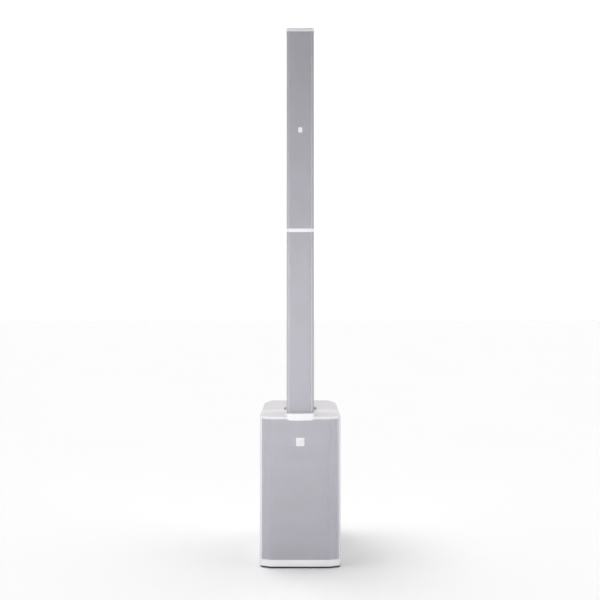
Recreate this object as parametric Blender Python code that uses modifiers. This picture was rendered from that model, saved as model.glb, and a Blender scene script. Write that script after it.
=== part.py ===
"""Column PA system: a subwoofer base unit with a loudspeaker column of two sections on top.

Run it with: blender --background --python part.py
Units are metres, +Z is up and the front faces -Y. The origin is on the floor, under the
middle of the object. Each object is one physical piece.
"""

import math

import bmesh
import bpy
from mathutils import Matrix, Vector

# ---------------------------------------------------------------- driving dimensions, in metres
GAP = 0.0003  # clearance between pieces that touch
BOARD_GAP = 0.0005  # clearance round what is let into the cabinet's boards
ARC_STEPS = 4  # straight steps in a rounded corner

# base unit, from the floor up
HALF_WIDTH = 0.150
FRONT_HALF = 0.108  # half width of the flat middle of the front
FACET_DEPTH = 0.012  # how far the facets beside it fall back
FRONT_Y = -0.207
REAR_Y = 0.208
FOOT_PROUD = 0.001  # how far a foot stands below the bottom plate
PLINTH_LOW = 0.006
PLINTH_TOP = 0.030
CAP_LOW = 0.5515
CAP_TOP = 0.560
CAP_REAR_DROP = 0.0025  # the cap's rear part is this much lower than its front part
CAP_STEP_Y = -0.050  # where the lower part begins
WALL = 0.009  # cabinet boards
BAFFLE_FRONT = -0.165
BAFFLE_REAR = -0.150
GRILLE_SHEET = 0.0012  # thickness of the grilles' sheet steel

# column dock and handle pocket in the top of the base unit
COLLAR_TOP = 0.571
APRON_LOW = 0.5455
APRON_FRONT = -0.210
DOCK_REAR = -0.0745
POCKET_HALF_WIDTH = 0.064
POCKET_FRONT = -0.074
POCKET_REAR = 0.022
POCKET_FLOOR = 0.498
POCKET_WALL = 0.003

# column sections
COLUMN_HALF_WIDTH = 0.051
COLUMN_FRONT = -0.185
COLUMN_REAR = -0.080
COLUMN_WALL = 0.003
WEB_FRONT = -0.173  # front face of the wall that carries the drivers
CHANNEL_HALF_WIDTH = 0.0435
LOWER_TOP = 1.2505  # parting plane between the two sections
BAND_HALF = 0.006  # each section's share of the band at the parting plane
UPPER_TOP = 2.004
TOP_CAP_THICKNESS = 0.012

# the plug under each column section, and the socket that takes it
SPIGOT_Y = -0.118
SPIGOT_HALF = (0.030, 0.018)
SPIGOT_LENGTH = 0.045
SOCKET_CLEARANCE = 0.0004
SOCKET_WALL_HALF = (0.038, 0.024)

# drivers
WOOFER_RADIUS = 0.105
WOOFER_CUTOUT = 0.0935
WOOFER_HEIGHTS = {"lower": 0.155, "upper": 0.385}
PORT_X = 0.103
PORT_Z = 0.270
PORT_CUTOUT = 0.0305
MID_CUTOUT = 0.0372
MID_HEIGHTS_LOWER = (1.150, 1.050, 0.950, 0.850)
UPPER_MIDDLE = (LOWER_TOP + BAND_HALF + UPPER_TOP - TOP_CAP_THICKNESS) / 2
MID_OFFSETS_UPPER = (0.245, 0.145, -0.145, -0.245)
TWEETER_OFFSET = 0.045
THROAT_RADIUS = 0.0087

# rear control panel: outer face of its floor, and places on it
PANEL_Y = 0.185
PANEL_FLOOR = 0.003
PANEL_REAR = 0.210
PANEL_HALF_WIDTH = 0.102
PANEL_LOW = 0.074
PANEL_HIGH = 0.516
PANEL_RIM = 0.0075
PANEL_SIDE = 0.0025
DISPLAY_AT = (0.045, 0.470)
DISPLAY_HALF = (0.031, 0.017)
MENU_AT = (-0.040, 0.470)
BUTTON_AT = (-0.080, 0.470)
KNOB_XS = (0.066, 0.022, -0.022, -0.066)
KNOB_Z = 0.410
JACK_XS = (0.060, 0.010)
JACK_Z = 0.350
JACK_HOLE = 0.0034
SHAFT_RADIUS = 0.003
STOP_FACE = -PANEL_FLOOR - GAP  # where a pressed piece's flange meets the panel's inner face
INLET_AT = (0.060, 0.113)
INLET_SOCKET_Z = 0.099
ROCKER_Z = 0.129
ROCKER_TILT = math.radians(7)
SINK_HALF_WIDTH = 0.072
SINK_Z = (0.160, 0.310)
SINK_FINS = 13

FRONT = (math.pi / 2, 0, 0)  # turns a turned piece's own +Z to face the front
REAR = (-math.pi / 2, 0, 0)
UPRIGHT = (0, 0, 0)
NUDGE = 0.02  # how far a cutter runs past the face that it opens

MATERIALS = {  # base colour, roughness, metallic
    "white_paint": ((0.86, 0.85, 0.87), 0.45, 0.0),
    "white_plastic": ((0.88, 0.87, 0.89), 0.40, 0.0),
    "grille_paint": ((0.70, 0.69, 0.72), 0.50, 0.2),
    "badge": ((0.93, 0.93, 0.95), 0.25, 0.0),
    "rubber": ((0.02, 0.02, 0.02), 0.85, 0.0),
    "black_plastic": ((0.03, 0.03, 0.035), 0.50, 0.0),
    "grip": ((0.70, 0.70, 0.71), 0.60, 0.0),
    "baffle_board": ((0.05, 0.05, 0.05), 0.80, 0.0),
    "foam": ((0.06, 0.06, 0.065), 0.95, 0.0),
    "steel_frame": ((0.08, 0.08, 0.09), 0.45, 0.8),
    "ferrite": ((0.12, 0.12, 0.13), 0.60, 0.3),
    "paper_cone": ((0.05, 0.05, 0.05), 0.90, 0.0),
    "panel_metal": ((0.10, 0.10, 0.11), 0.50, 0.5),
    "aluminium": ((0.12, 0.12, 0.13), 0.40, 0.9),
    "circuit_board": ((0.03, 0.22, 0.10), 0.50, 0.0),
    "display_glass": ((0.02, 0.03, 0.05), 0.10, 0.0),
    "shaft_steel": ((0.70, 0.70, 0.72), 0.30, 1.0),
}


# ---------------------------------------------------------------- scene and object helpers
def clear_scene():
    for obj in list(bpy.data.objects):
        bpy.data.objects.remove(obj)


def new_collection(name):
    collection = bpy.data.collections.new(name)
    bpy.context.scene.collection.children.link(collection)
    return collection


def material(name):
    """The named material, made the first time that it is asked for."""
    found = bpy.data.materials.get(name)
    if found:
        return found
    colour, roughness, metallic = MATERIALS[name]
    made = bpy.data.materials.new(name)
    made.use_nodes = True
    shader = made.node_tree.nodes["Principled BSDF"]
    shader.inputs["Base Color"].default_value = (*colour, 1.0)
    shader.inputs["Roughness"].default_value = roughness
    shader.inputs["Metallic"].default_value = metallic
    return made


def piece(name, mesh, finish):
    """An object of the model that shows this mesh."""
    obj = bpy.data.objects.new(name, mesh)
    mesh.materials.clear()
    mesh.materials.append(material(finish))
    PARTS.objects.link(obj)
    return obj


def tool(name, mesh):
    """A shape that only cuts or joins other pieces."""
    obj = bpy.data.objects.new(name, mesh)
    obj.display_type = "WIRE"
    obj.hide_render = True
    TOOLS.objects.link(obj)
    return obj


def combine(obj, other, operation):
    modifier = obj.modifiers.new(f"{operation.lower()} {other.name}", "BOOLEAN")
    modifier.operation = operation
    modifier.object = other


def cut(obj, mesh):
    combine(obj, tool(f"{obj.name}_cut", mesh), "DIFFERENCE")


def join(obj, mesh):
    combine(obj, tool(f"{obj.name}_join", mesh), "UNION")


def bevel(obj, width, segments=2):
    modifier = obj.modifiers.new("rounded edges", "BEVEL")
    modifier.width = width
    modifier.segments = segments
    modifier.limit_method = "ANGLE"
    modifier.angle_limit = math.radians(50)


# ---------------------------------------------------------------- outlines
def mirrored(right_side):
    """A closed outline's corners from those of its +X half, given from front to rear."""
    return right_side + [(-x, y, radius) for x, y, radius in reversed(right_side)]


def rectangle(middle, half, radius):
    """A rounded rectangle's corners from its middle and its half sizes."""
    (u, v), (half_u, half_v) = middle, half
    return [
        (u - half_u, v - half_v, radius),
        (u + half_u, v - half_v, radius),
        (u + half_u, v + half_v, radius),
        (u - half_u, v + half_v, radius),
    ]


def inset(corners, amount):
    """The corners of a convex anticlockwise outline, moved inwards."""
    moved = []
    for i, (x, y, radius) in enumerate(corners):
        before = Vector(corners[i - 1][:2])
        here = Vector((x, y))
        after = Vector(corners[(i + 1) % len(corners)][:2])
        inward_in = (here - before).normalized().orthogonal()
        inward_out = (after - here).normalized().orthogonal()
        shift = (inward_in + inward_out) * (amount / (1 + inward_in.dot(inward_out)))
        moved.append((x + shift.x, y + shift.y, max(radius - amount, 0.0)))
    return moved


def rounded(corners, steps=ARC_STEPS):
    """The points of a convex anticlockwise outline, with arcs at its rounded corners."""
    points = []
    for i, (x, y, radius) in enumerate(corners):
        here = Vector((x, y))
        if radius <= 0:
            points.append(here)
            continue
        back = (Vector(corners[i - 1][:2]) - here).normalized()
        ahead = (Vector(corners[(i + 1) % len(corners)][:2]) - here).normalized()
        half_angle = back.angle(ahead) / 2
        centre = here + (back + ahead).normalized() * radius / math.sin(half_angle)
        arm = here + back * radius / math.tan(half_angle) - centre
        sweep = math.pi - 2 * half_angle
        for step in range(steps + 1):
            turn = Matrix.Rotation(sweep * step / steps, 2)
            points.append(centre + turn @ arm)
    return points


# ---------------------------------------------------------------- meshes
def box(low, high):
    """A block between two corners."""
    size = Vector(high) - Vector(low)
    middle = (Vector(high) + Vector(low)) / 2
    bm = bmesh.new()
    bmesh.ops.create_cube(bm, size=1.0)
    bmesh.ops.scale(bm, vec=size, verts=bm.verts)
    bmesh.ops.translate(bm, vec=middle, verts=bm.verts)
    return finished(bm)


def finished(bm):
    mesh = bpy.data.meshes.new("shape")
    bm.to_mesh(mesh)
    bm.free()
    return mesh


def prism(points, low, high, plane="XY"):
    """A flat outline with a thickness from low to high, along the axis its plane leaves out."""
    curve = bpy.data.curves.new("outline", "CURVE")
    curve.dimensions = "2D"
    curve.fill_mode = "BOTH"
    curve.extrude = (high - low) / 2
    spline = curve.splines.new("POLY")
    spline.points.add(len(points) - 1)
    for point, (u, v) in zip(spline.points, points):
        point.co = (u, v, 0.0, 1.0)
    spline.use_cyclic_u = True
    flat = bpy.data.objects.new("outline", curve)
    bpy.context.scene.collection.objects.link(flat)
    bpy.context.view_layer.update()
    evaluated = flat.evaluated_get(bpy.context.evaluated_depsgraph_get())
    solid = bpy.data.meshes.new_from_object(evaluated)
    bpy.data.objects.remove(flat)
    middle = (low + high) / 2
    onto_yz = Matrix(((0, 0, 1, 0), (1, 0, 0, 0), (0, 1, 0, 0), (0, 0, 0, 1)))
    place = {
        "XY": Matrix.Translation((0, 0, middle)),
        "XZ": Matrix.Translation((0, middle, 0)) @ Matrix.Rotation(math.pi / 2, 4, "X"),
        "YZ": Matrix.Translation((middle, 0, 0)) @ onto_yz,
    }[plane]
    bm = bmesh.new()
    bm.from_mesh(solid)
    bmesh.ops.remove_doubles(bm, verts=bm.verts, dist=1e-6)
    bmesh.ops.transform(bm, matrix=place, verts=bm.verts)
    bmesh.ops.recalc_face_normals(bm, faces=bm.faces)
    return finished(bm)


def rod(radius, start, end, segments=20, end_radius=None):
    """A cylinder, or a cone, from start to end."""
    start, end = Vector(start), Vector(end)
    turn = (end - start).to_track_quat("Z", "Y").to_matrix().to_4x4()
    bm = bmesh.new()
    bmesh.ops.create_cone(
        bm,
        cap_ends=True,
        segments=segments,
        radius1=radius,
        radius2=radius if end_radius is None else end_radius,
        depth=(end - start).length,
        matrix=Matrix.Translation((start + end) / 2) @ turn,
    )
    return finished(bm)


def turned(name, profile, finish, at, facing=UPRIGHT, steps=24, ring=False):
    """A piece turned about its own Z. The profile holds (radius, height) pairs from the top down."""
    mesh = bpy.data.meshes.new(name)
    last = len(profile) - 1
    edges = [(i, i + 1) for i in range(last)] + ([(last, 0)] if ring else [])
    mesh.from_pydata([(radius, 0, height) for radius, height in profile], edges, [])
    obj = piece(name, mesh, finish)
    obj.location = at
    obj.rotation_euler = facing
    screw = obj.modifiers.new("turn", "SCREW")
    screw.axis = "Z"
    screw.steps = steps
    screw.render_steps = steps
    screw.use_merge_vertices = True
    screw.merge_threshold = 1e-5
    screw.use_smooth_shade = True
    return obj


def folded_sheet(name, path, low, high, thickness, finish):
    """A sheet that follows a plan path, from -X to +X, with its thickness behind the path."""
    bm = bmesh.new()
    verts = [bm.verts.new((x, y, low)) for x, y in path]
    edges = [bm.edges.new(pair) for pair in zip(verts, verts[1:])]
    made = bmesh.ops.extrude_edge_only(bm, edges=edges)["geom"]
    raised = [element for element in made if isinstance(element, bmesh.types.BMVert)]
    bmesh.ops.translate(bm, vec=(0, 0, high - low), verts=raised)
    for face in bm.faces:
        face.normal_update()
    if sum(face.normal.y * face.calc_area() for face in bm.faces) > 0:
        bmesh.ops.reverse_faces(bm, faces=bm.faces)
    obj = piece(name, finished(bm), finish)
    solidify = obj.modifiers.new("sheet thickness", "SOLIDIFY")
    solidify.thickness = thickness
    solidify.offset = -1
    solidify.use_even_offset = True
    return obj


# ---------------------------------------------------------------- base unit casing
def base_outline(amount=0.0):
    """Plan of the base unit: a flat front between two facets, and chamfered rear corners."""
    right = [
        (FRONT_HALF, FRONT_Y, 0.014),
        (HALF_WIDTH, FRONT_Y + FACET_DEPTH, 0.014),
        (HALF_WIDTH, 0.140, 0.045),
        (0.122, REAR_Y, 0.015),
    ]
    return inset(mirrored(right), amount)


def pocket_block(margin, low, high):
    """The handle pocket's space, grown sideways by a margin."""
    return box(
        (-POCKET_HALF_WIDTH - margin, POCKET_FRONT - margin, low),
        (POCKET_HALF_WIDTH + margin, POCKET_REAR + margin, high),
    )


def socket_block(margin, low, high, half=SOCKET_WALL_HALF):
    """A block around the spigot's axis."""
    return box(
        (-half[0] - margin, SPIGOT_Y - half[1] - margin, low),
        (half[0] + margin, SPIGOT_Y + half[1] + margin, high),
    )


def make_cabinet():
    low, high = PLINTH_TOP + GAP, CAP_LOW - GAP
    cabinet = piece("cabinet", prism(rounded(base_outline()), low, high), "white_paint")
    cut(cabinet, prism(rounded(base_outline(WALL)), low + WALL, high - WALL))
    rebate = HALF_WIDTH - WALL + 0.0004
    cut(cabinet, box((-rebate, FRONT_Y - NUDGE, 0), (rebate, BAFFLE_REAR + GAP, high + NUDGE)))
    half_opening = PANEL_HALF_WIDTH + BOARD_GAP
    opening_low = (-half_opening, REAR_Y - WALL - NUDGE, PANEL_LOW - BOARD_GAP)
    cut(cabinet, box(opening_low, (half_opening, REAR_Y + NUDGE, PANEL_HIGH + BOARD_GAP)))
    cut(cabinet, pocket_block(POCKET_WALL + BOARD_GAP, high - WALL - NUDGE, high + NUDGE))
    cut(cabinet, socket_block(BOARD_GAP, high - WALL - NUDGE, high + NUDGE))


def foot_places():
    return {
        "foot_front_left": (-0.112, -0.150),
        "foot_front_right": (0.112, -0.150),
        "foot_rear_left": (-0.105, 0.150),
        "foot_rear_right": (0.105, 0.150),
    }


def make_underside():
    """The plinth, the black bottom plate below it and the four rubber feet."""
    plinth = piece("base_plinth", prism(rounded(base_outline()), PLINTH_LOW, PLINTH_TOP), "white_plastic")
    hollow_top = PLINTH_TOP - 0.004
    cut(plinth, box((-0.075, -0.185, -NUDGE), (0.075, 0.185, hollow_top)))
    cut(plinth, box((-0.135, -0.115, -NUDGE), (0.135, 0.115, hollow_top - 0.0005)))
    plate_low, plate_high = FOOT_PROUD, PLINTH_LOW - GAP
    plate = piece("bottom_plate", prism(rounded(base_outline(0.0015)), plate_low, plate_high), "black_plastic")
    foot_radius = 0.016
    for name, (x, y) in foot_places().items():
        cut(plate, rod(foot_radius + 0.001, (x, y, -NUDGE), (x, y, NUDGE), segments=16))
        profile = [(0, plate_high), (foot_radius, plate_high), (foot_radius - 0.001, 0), (0, 0)]
        turned(name, profile, "rubber", (x, y, 0), steps=16)


def make_top_cap():
    cap = piece("top_cap", prism(rounded(base_outline()), CAP_LOW, CAP_TOP), "white_plastic")
    bevel(cap, 0.003)
    cut(cap, prism(rounded(base_outline(0.004)), CAP_LOW - NUDGE, CAP_TOP - 0.006))
    rear_top = CAP_TOP - CAP_REAR_DROP
    cut(cap, box((-0.2, CAP_STEP_Y, rear_top), (0.2, 0.25, CAP_TOP + NUDGE)))
    join(cap, pocket_block(POCKET_WALL, POCKET_FLOOR - POCKET_WALL, rear_top - 0.001))
    cut(cap, pocket_block(0, POCKET_FLOOR, CAP_TOP + NUDGE))
    cut(cap, socket_block(SOCKET_CLEARANCE, CAP_LOW - NUDGE, CAP_TOP + NUDGE))


def make_dock():
    """The collar round the column's foot, with its apron over the grille, and the contact block."""
    right = [
        (0.0485, APRON_FRONT, 0.002),
        (0.059, -0.196, 0.010),
        (0.059, -0.134, 0.006),
        (0.050, -0.122, 0),
        (0.050, DOCK_REAR, 0.008),
    ]
    collar = piece("dock_collar", prism(rounded(mirrored(right)), CAP_TOP + GAP, COLLAR_TOP), "badge")
    apron_top = COLLAR_TOP - 0.003
    apron = [
        (-0.0455, APRON_LOW, 0.005),
        (0.0455, APRON_LOW, 0.005),
        (0.0485, apron_top, 0),
        (-0.0485, apron_top, 0),
    ]
    join(collar, prism(rounded(apron), APRON_FRONT, FRONT_Y - GAP, "XZ"))
    half = tuple(side + SOCKET_CLEARANCE for side in SPIGOT_HALF)
    cut(collar, socket_block(0, CAP_LOW, COLLAR_TOP + NUDGE, half))
    block = piece("dock_connector", socket_block(0, 0.500, CAP_TOP), "black_plastic")
    cut(block, socket_block(0, COLLAR_TOP - SPIGOT_LENGTH - 0.004, CAP_TOP + NUDGE, half))


def make_handle():
    half_length = POCKET_HALF_WIDTH - GAP
    middle = ((POCKET_FRONT + POCKET_REAR) / 2, 0.54525)
    section = rectangle(middle, (0.015, 0.00925), 0.006)
    piece("carry_handle", prism(rounded(section), -half_length, half_length, "YZ"), "grip")


def front_path(depth, edge_x):
    """Plan path, from -X to +X, that lies at a depth behind the front plane and its facets."""
    slope = math.atan2(FACET_DEPTH, HALF_WIDTH - FRONT_HALF)
    corner_x = FRONT_HALF - depth * math.tan(slope / 2)
    corner_y = FRONT_Y + depth
    right = [(corner_x, corner_y), (edge_x, corner_y + (edge_x - corner_x) * math.tan(slope))]
    return [(-x, y) for x, y in reversed(right)] + right


def make_sub_grille():
    """The folded front grille, the foam behind it and the badge on it."""
    edge_x = HALF_WIDTH - WALL - 0.0007
    rear = BAFFLE_FRONT - GAP
    low, high = PLINTH_TOP + GAP, CAP_LOW - GAP
    path = [(-edge_x, rear), *front_path(GAP, edge_x), (edge_x, rear)]
    folded_sheet("sub_grille", path, low, high, GRILLE_SHEET, "grille_paint")
    foam_path = front_path(GRILLE_SHEET + 2 * GAP, edge_x - GRILLE_SHEET - GAP)
    folded_sheet("sub_grille_foam", foam_path, low + 0.001, high - 0.001, 0.004, "foam")
    badge = rounded(rectangle((0, 0.4665), (0.0155, 0.0160), 0.003))
    piece("sub_badge", prism(badge, FRONT_Y - 0.002, FRONT_Y, "XZ"), "badge")


# ---------------------------------------------------------------- woofers and ports
def make_baffle():
    low, high = PLINTH_TOP + GAP, CAP_LOW - GAP
    half = HALF_WIDTH - WALL - GAP
    board = box((-half, BAFFLE_FRONT, low), (half, BAFFLE_REAR, high))
    baffle = piece("front_baffle", board, "baffle_board")
    for z in WOOFER_HEIGHTS.values():
        cut(baffle, rod(WOOFER_CUTOUT, (0, BAFFLE_FRONT - NUDGE, z), (0, BAFFLE_REAR + NUDGE, z), 32))
    for x in (-PORT_X, PORT_X):
        cut(baffle, rod(PORT_CUTOUT, (x, BAFFLE_FRONT - NUDGE, PORT_Z), (x, BAFFLE_REAR + NUDGE, PORT_Z)))


def surround_profile():
    """A half roll between the cone's edge and the basket, closed into a thin ring."""
    middle, base, outer, inner = 0.084, 0.0056, 0.0052, 0.0042
    angles = [math.pi * step / 5 for step in range(6)]
    top = [(middle - outer * math.cos(a), base + outer * math.sin(a)) for a in angles]
    under = [(middle + inner * math.cos(a), base + inner * math.sin(a)) for a in angles]
    rim = [(0.098, base + 0.001), (0.098, base)]
    lip = [(0.0755, 0.0036), (0.0755, 0.0026)]
    return [lip[0], *top, *rim, *under, lip[1]]


def make_woofer(which):
    """Basket, magnet, moving cone with its voice coil, and surround, on one forward axis."""
    at = (0, BAFFLE_FRONT, WOOFER_HEIGHTS[which])
    basket = [
        (WOOFER_RADIUS, 0.0053),
        (WOOFER_RADIUS, GAP),
        (0.0925, GAP),
        (0.0925, -0.012),
        (0.064, -0.060),
        (0.064, -0.064),
        (0.036, -0.064),
        (0.036, -0.061),
        (0.060, -0.061),
        (0.0898, -0.011),
        (0.0898, 0.0053),
    ]
    turned(f"woofer_basket_{which}", basket, "steel_frame", at, FRONT, ring=True)
    magnet = [
        (0, -0.0600),
        (0.0240, -0.0600),
        (0.0240, -0.0860),
        (0.0275, -0.0860),
        (0.0275, -0.0645),
        (0.0600, -0.0645),
        (0.0600, -0.0940),
        (0, -0.0940),
    ]
    turned(f"woofer_magnet_{which}", magnet, "ferrite", at, FRONT)
    cone = [
        (0, -0.0290),
        (0.015, -0.0310),
        (0.028, -0.0385),
        (0.078, 0.0020),
        (0.078, 0.0008),
        (0.0262, -0.0425),
        (0.0262, -0.0750),
        (0.0252, -0.0750),
        (0.0252, -0.0420),
        (0.014, -0.0330),
        (0, -0.0305),
    ]
    turned(f"woofer_cone_{which}", cone, "paper_cone", at, FRONT)
    turned(f"woofer_surround_{which}", surround_profile(), "rubber", at, FRONT, ring=True)


def make_ports():
    profile = [
        (0.0360, 0.0033),
        (0.0360, GAP),
        (0.0300, GAP),
        (0.0300, -0.1100),
        (0.0272, -0.1100),
        (0.0272, -0.0060),
        (0.0285, -0.0010),
        (0.0320, 0.0033),
    ]
    for name, x in (("reflex_port_left", -PORT_X), ("reflex_port_right", PORT_X)):
        turned(name, profile, "black_plastic", (x, BAFFLE_FRONT, PORT_Z), FRONT, steps=20, ring=True)


# ---------------------------------------------------------------- rear panel
def panel_hole(panel, radius, x, z):
    cut(panel, rod(radius, (x, PANEL_Y - PANEL_FLOOR - NUDGE, z), (x, PANEL_Y + NUDGE, z)))


def panel_window(panel, half_x, half_z, x, z):
    low = (x - half_x, PANEL_Y - PANEL_FLOOR - NUDGE, z - half_z)
    cut(panel, box(low, (x + half_x, PANEL_Y + NUDGE, z + half_z)))


def make_rear_panel():
    """A folded steel tray whose rim lies on the cabinet's rear face."""
    rim_front = REAR_Y + GAP
    rim = box(
        (-PANEL_HALF_WIDTH - PANEL_RIM, rim_front, PANEL_LOW - PANEL_RIM),
        (PANEL_HALF_WIDTH + PANEL_RIM, PANEL_REAR, PANEL_HIGH + PANEL_RIM),
    )
    panel = piece("rear_panel", rim, "panel_metal")
    floor_inner = PANEL_Y - PANEL_FLOOR
    tray_low = (-PANEL_HALF_WIDTH, floor_inner, PANEL_LOW)
    join(panel, box(tray_low, (PANEL_HALF_WIDTH, PANEL_REAR - 0.0005, PANEL_HIGH)))
    inner = PANEL_HALF_WIDTH - PANEL_SIDE
    recess_low = (-inner, PANEL_Y, PANEL_LOW + PANEL_SIDE)
    cut(panel, box(recess_low, (inner, PANEL_REAR + NUDGE, PANEL_HIGH - PANEL_SIDE)))
    panel_window(panel, DISPLAY_HALF[0] + GAP, DISPLAY_HALF[1] + GAP, *DISPLAY_AT)
    panel_window(panel, 0.0155, 0.0290, *INLET_AT)
    panel_hole(panel, SHAFT_RADIUS + 0.0004, *MENU_AT)
    panel_hole(panel, 0.0050, *BUTTON_AT)
    for x in KNOB_XS:
        panel_hole(panel, SHAFT_RADIUS + 0.0004, x, KNOB_Z)
    for x in JACK_XS:
        panel_hole(panel, 0.0122, x, JACK_Z)


def make_display():
    x, z = DISPLAY_AT
    half_x, half_z = DISPLAY_HALF
    low = (x - half_x, PANEL_Y - 0.0025, z - half_z)
    glass = box(low, (x + half_x, PANEL_Y + 0.0008, z + half_z))
    window = piece("display_window", glass, "display_glass")
    bevel(window, 0.0005, 1)


def make_channel_knobs():
    """Each level knob turns on a shaft through the panel, and a ridge on it shows its setting."""
    profile = [
        (0, 0.0155),
        (0.0070, 0.0155),
        (0.0080, 0.0145),
        (0.0086, 0.0030),
        (0.0095, 0.0020),
        (0.0095, 0.0005),
        (SHAFT_RADIUS, 0.0005),
        (SHAFT_RADIUS, -0.0090),
        (0, -0.0090),
    ]
    for number, x in enumerate(KNOB_XS, start=1):
        at = (x, PANEL_Y, KNOB_Z)
        knob = turned(f"channel_knob_{number}", profile, "black_plastic", at, REAR, steps=20)
        ridge_low = (x - 0.0007, PANEL_Y + 0.006, KNOB_Z + 0.002)
        join(knob, box(ridge_low, (x + 0.0007, PANEL_Y + 0.0160, KNOB_Z + 0.0090)))


def make_menu_encoder():
    """A shaft that presses in, and the knob that turns on it."""
    x, z = MENU_AT
    at = (x, PANEL_Y, z)
    shaft = [
        (0, 0.0140),
        (SHAFT_RADIUS, 0.0140),
        (SHAFT_RADIUS, STOP_FACE),
        (0.0050, STOP_FACE),
        (0.0050, -0.0050),
        (SHAFT_RADIUS, -0.0050),
        (SHAFT_RADIUS, -0.0150),
        (0, -0.0150),
    ]
    turned("menu_shaft", shaft, "shaft_steel", at, REAR, steps=16)
    bore = SHAFT_RADIUS + GAP
    knob = [
        (0, 0.0175),
        (0.0120, 0.0175),
        (0.0132, 0.0165),
        (0.0140, 0.0040),
        (0.0140, 0.0013),
        (bore, 0.0013),
        (bore, 0.0145),
        (0, 0.0145),
    ]
    turned("menu_knob", knob, "black_plastic", at, REAR)


def make_pairing_button():
    x, z = BUTTON_AT
    profile = [
        (0, 0.0032),
        (0.0040, 0.0032),
        (0.0046, 0.0026),
        (0.0046, STOP_FACE),
        (0.0064, STOP_FACE),
        (0.0064, -0.0048),
        (0.0046, -0.0048),
        (0.0046, -0.0080),
        (0, -0.0080),
    ]
    turned("pairing_button", profile, "black_plastic", (x, PANEL_Y, z), REAR, steps=16)


def make_jacks():
    for number, x in enumerate(JACK_XS, start=1):
        corners = rectangle((x, JACK_Z), (0.0130, 0.0155), 0.003)
        flange = prism(rounded(corners, 2), PANEL_Y + GAP, PANEL_Y + 0.0023, "XZ")
        jack = piece(f"combo_jack_{number}", flange, "black_plastic")
        join(jack, rod(0.0118, (x, PANEL_Y - 0.022, JACK_Z), (x, PANEL_Y + 0.0030, JACK_Z), 24))
        cut(jack, rod(JACK_HOLE, (x, PANEL_Y - 0.019, JACK_Z), (x, PANEL_Y + NUDGE, JACK_Z), 16))


def make_mains_inlet():
    """The power module: an appliance inlet's recess with the power rocker above it."""
    x, z = INLET_AT

    def block(half_x, low_y, high_y, middle_z, half_z):
        return box((x - half_x, low_y, middle_z - half_z), (x + half_x, high_y, middle_z + half_z))

    inlet = piece("mains_inlet", block(0.0175, PANEL_Y + GAP, PANEL_Y + 0.0023, z, 0.031), "black_plastic")
    join(inlet, block(0.0150, PANEL_Y - 0.026, PANEL_Y + 0.0010, z, 0.0285))
    cut(inlet, block(0.0120, PANEL_Y - 0.016, PANEL_Y + NUDGE, INLET_SOCKET_Z, 0.0082))
    cut(inlet, block(0.0068, PANEL_Y - 0.010, PANEL_Y + NUDGE, ROCKER_Z, 0.0102))


def make_power_rocker():
    """At rest its upper end is pressed in. It turns about X on its own origin."""
    upper = [(0.0030, 0.0), (0.0046, 0.0092), (0.0030, 0.0092), (-0.0040, 0.0085)]
    section = upper + [(y, -z) for y, z in reversed(upper[1:])]
    rocker = piece("power_rocker", prism(section, -0.0063, 0.0063, "YZ"), "black_plastic")
    rocker.location = (INLET_AT[0], PANEL_Y - 0.001, ROCKER_Z)
    rocker.rotation_euler = (ROCKER_TILT, 0, 0)


def make_heat_sink():
    """A comb section, extruded upwards: a base with vertical fins facing the rear."""
    base, tip = PANEL_Y + 0.005, PANEL_Y + 0.021
    pitch = 2 * SINK_HALF_WIDTH / SINK_FINS
    half_fin = 0.0013
    comb = [(SINK_HALF_WIDTH, PANEL_Y + GAP), (SINK_HALF_WIDTH, base)]
    for number in range(SINK_FINS):
        middle = SINK_HALF_WIDTH - pitch * (number + 0.5)
        right, left = middle + half_fin, middle - half_fin
        comb += [(right, base), (right, tip), (left, tip), (left, base)]
    comb += [(-SINK_HALF_WIDTH, base), (-SINK_HALF_WIDTH, PANEL_Y + GAP)]
    piece("heat_sink", prism(comb, *SINK_Z), "aluminium")


def make_amplifier_board():
    """The circuit board behind the panel, with its transformer, filter capacitors and output coils."""
    rear, front = 0.1560, 0.1544
    board = piece("amplifier_board", box((-0.085, front, 0.150), (0.085, rear, 0.330)), "circuit_board")
    join(board, box((0.020, front - 0.032, 0.165), (0.075, front + 0.0005, 0.215)))
    join(board, box((-0.070, front - 0.020, 0.170), (-0.010, front + 0.0005, 0.185)))
    for x in (-0.055, -0.025, 0.005):
        join(board, rod(0.0125, (x, front - 0.035, 0.260), (x, front + 0.0005, 0.260), 16))
    for x in (0.040, 0.068):
        join(board, rod(0.0110, (x, front - 0.016, 0.290), (x, front + 0.0005, 0.290), 16))


# ---------------------------------------------------------------- column sections
def column_outline(amount=0.0):
    right = [(COLUMN_HALF_WIDTH, COLUMN_FRONT, 0.010), (COLUMN_HALF_WIDTH, COLUMN_REAR, 0.022)]
    return inset(mirrored(right), amount)


def column_cavity(amount=0.0):
    half = COLUMN_HALF_WIDTH - COLUMN_WALL
    right = [(half, WEB_FRONT + COLUMN_WALL, 0.002), (half, COLUMN_REAR - COLUMN_WALL, 0.019)]
    return inset(mirrored(right), amount)


def make_housing(name, low, high):
    """An extruded tube with a channel for the grille in front of the wall that carries the drivers."""
    housing = piece(name, prism(rounded(column_outline()), low, high), "white_paint")
    cut(housing, prism(rounded(column_cavity()), low - NUDGE, high + NUDGE))
    channel_low = (-CHANNEL_HALF_WIDTH, COLUMN_FRONT - NUDGE, low - NUDGE)
    cut(housing, box(channel_low, (CHANNEL_HALF_WIDTH, WEB_FRONT, high + NUDGE)))
    return housing


def web_hole(housing, radius, z):
    cut(housing, rod(radius, (0, WEB_FRONT - 0.005, z), (0, WEB_FRONT + 0.008, z)))


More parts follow.
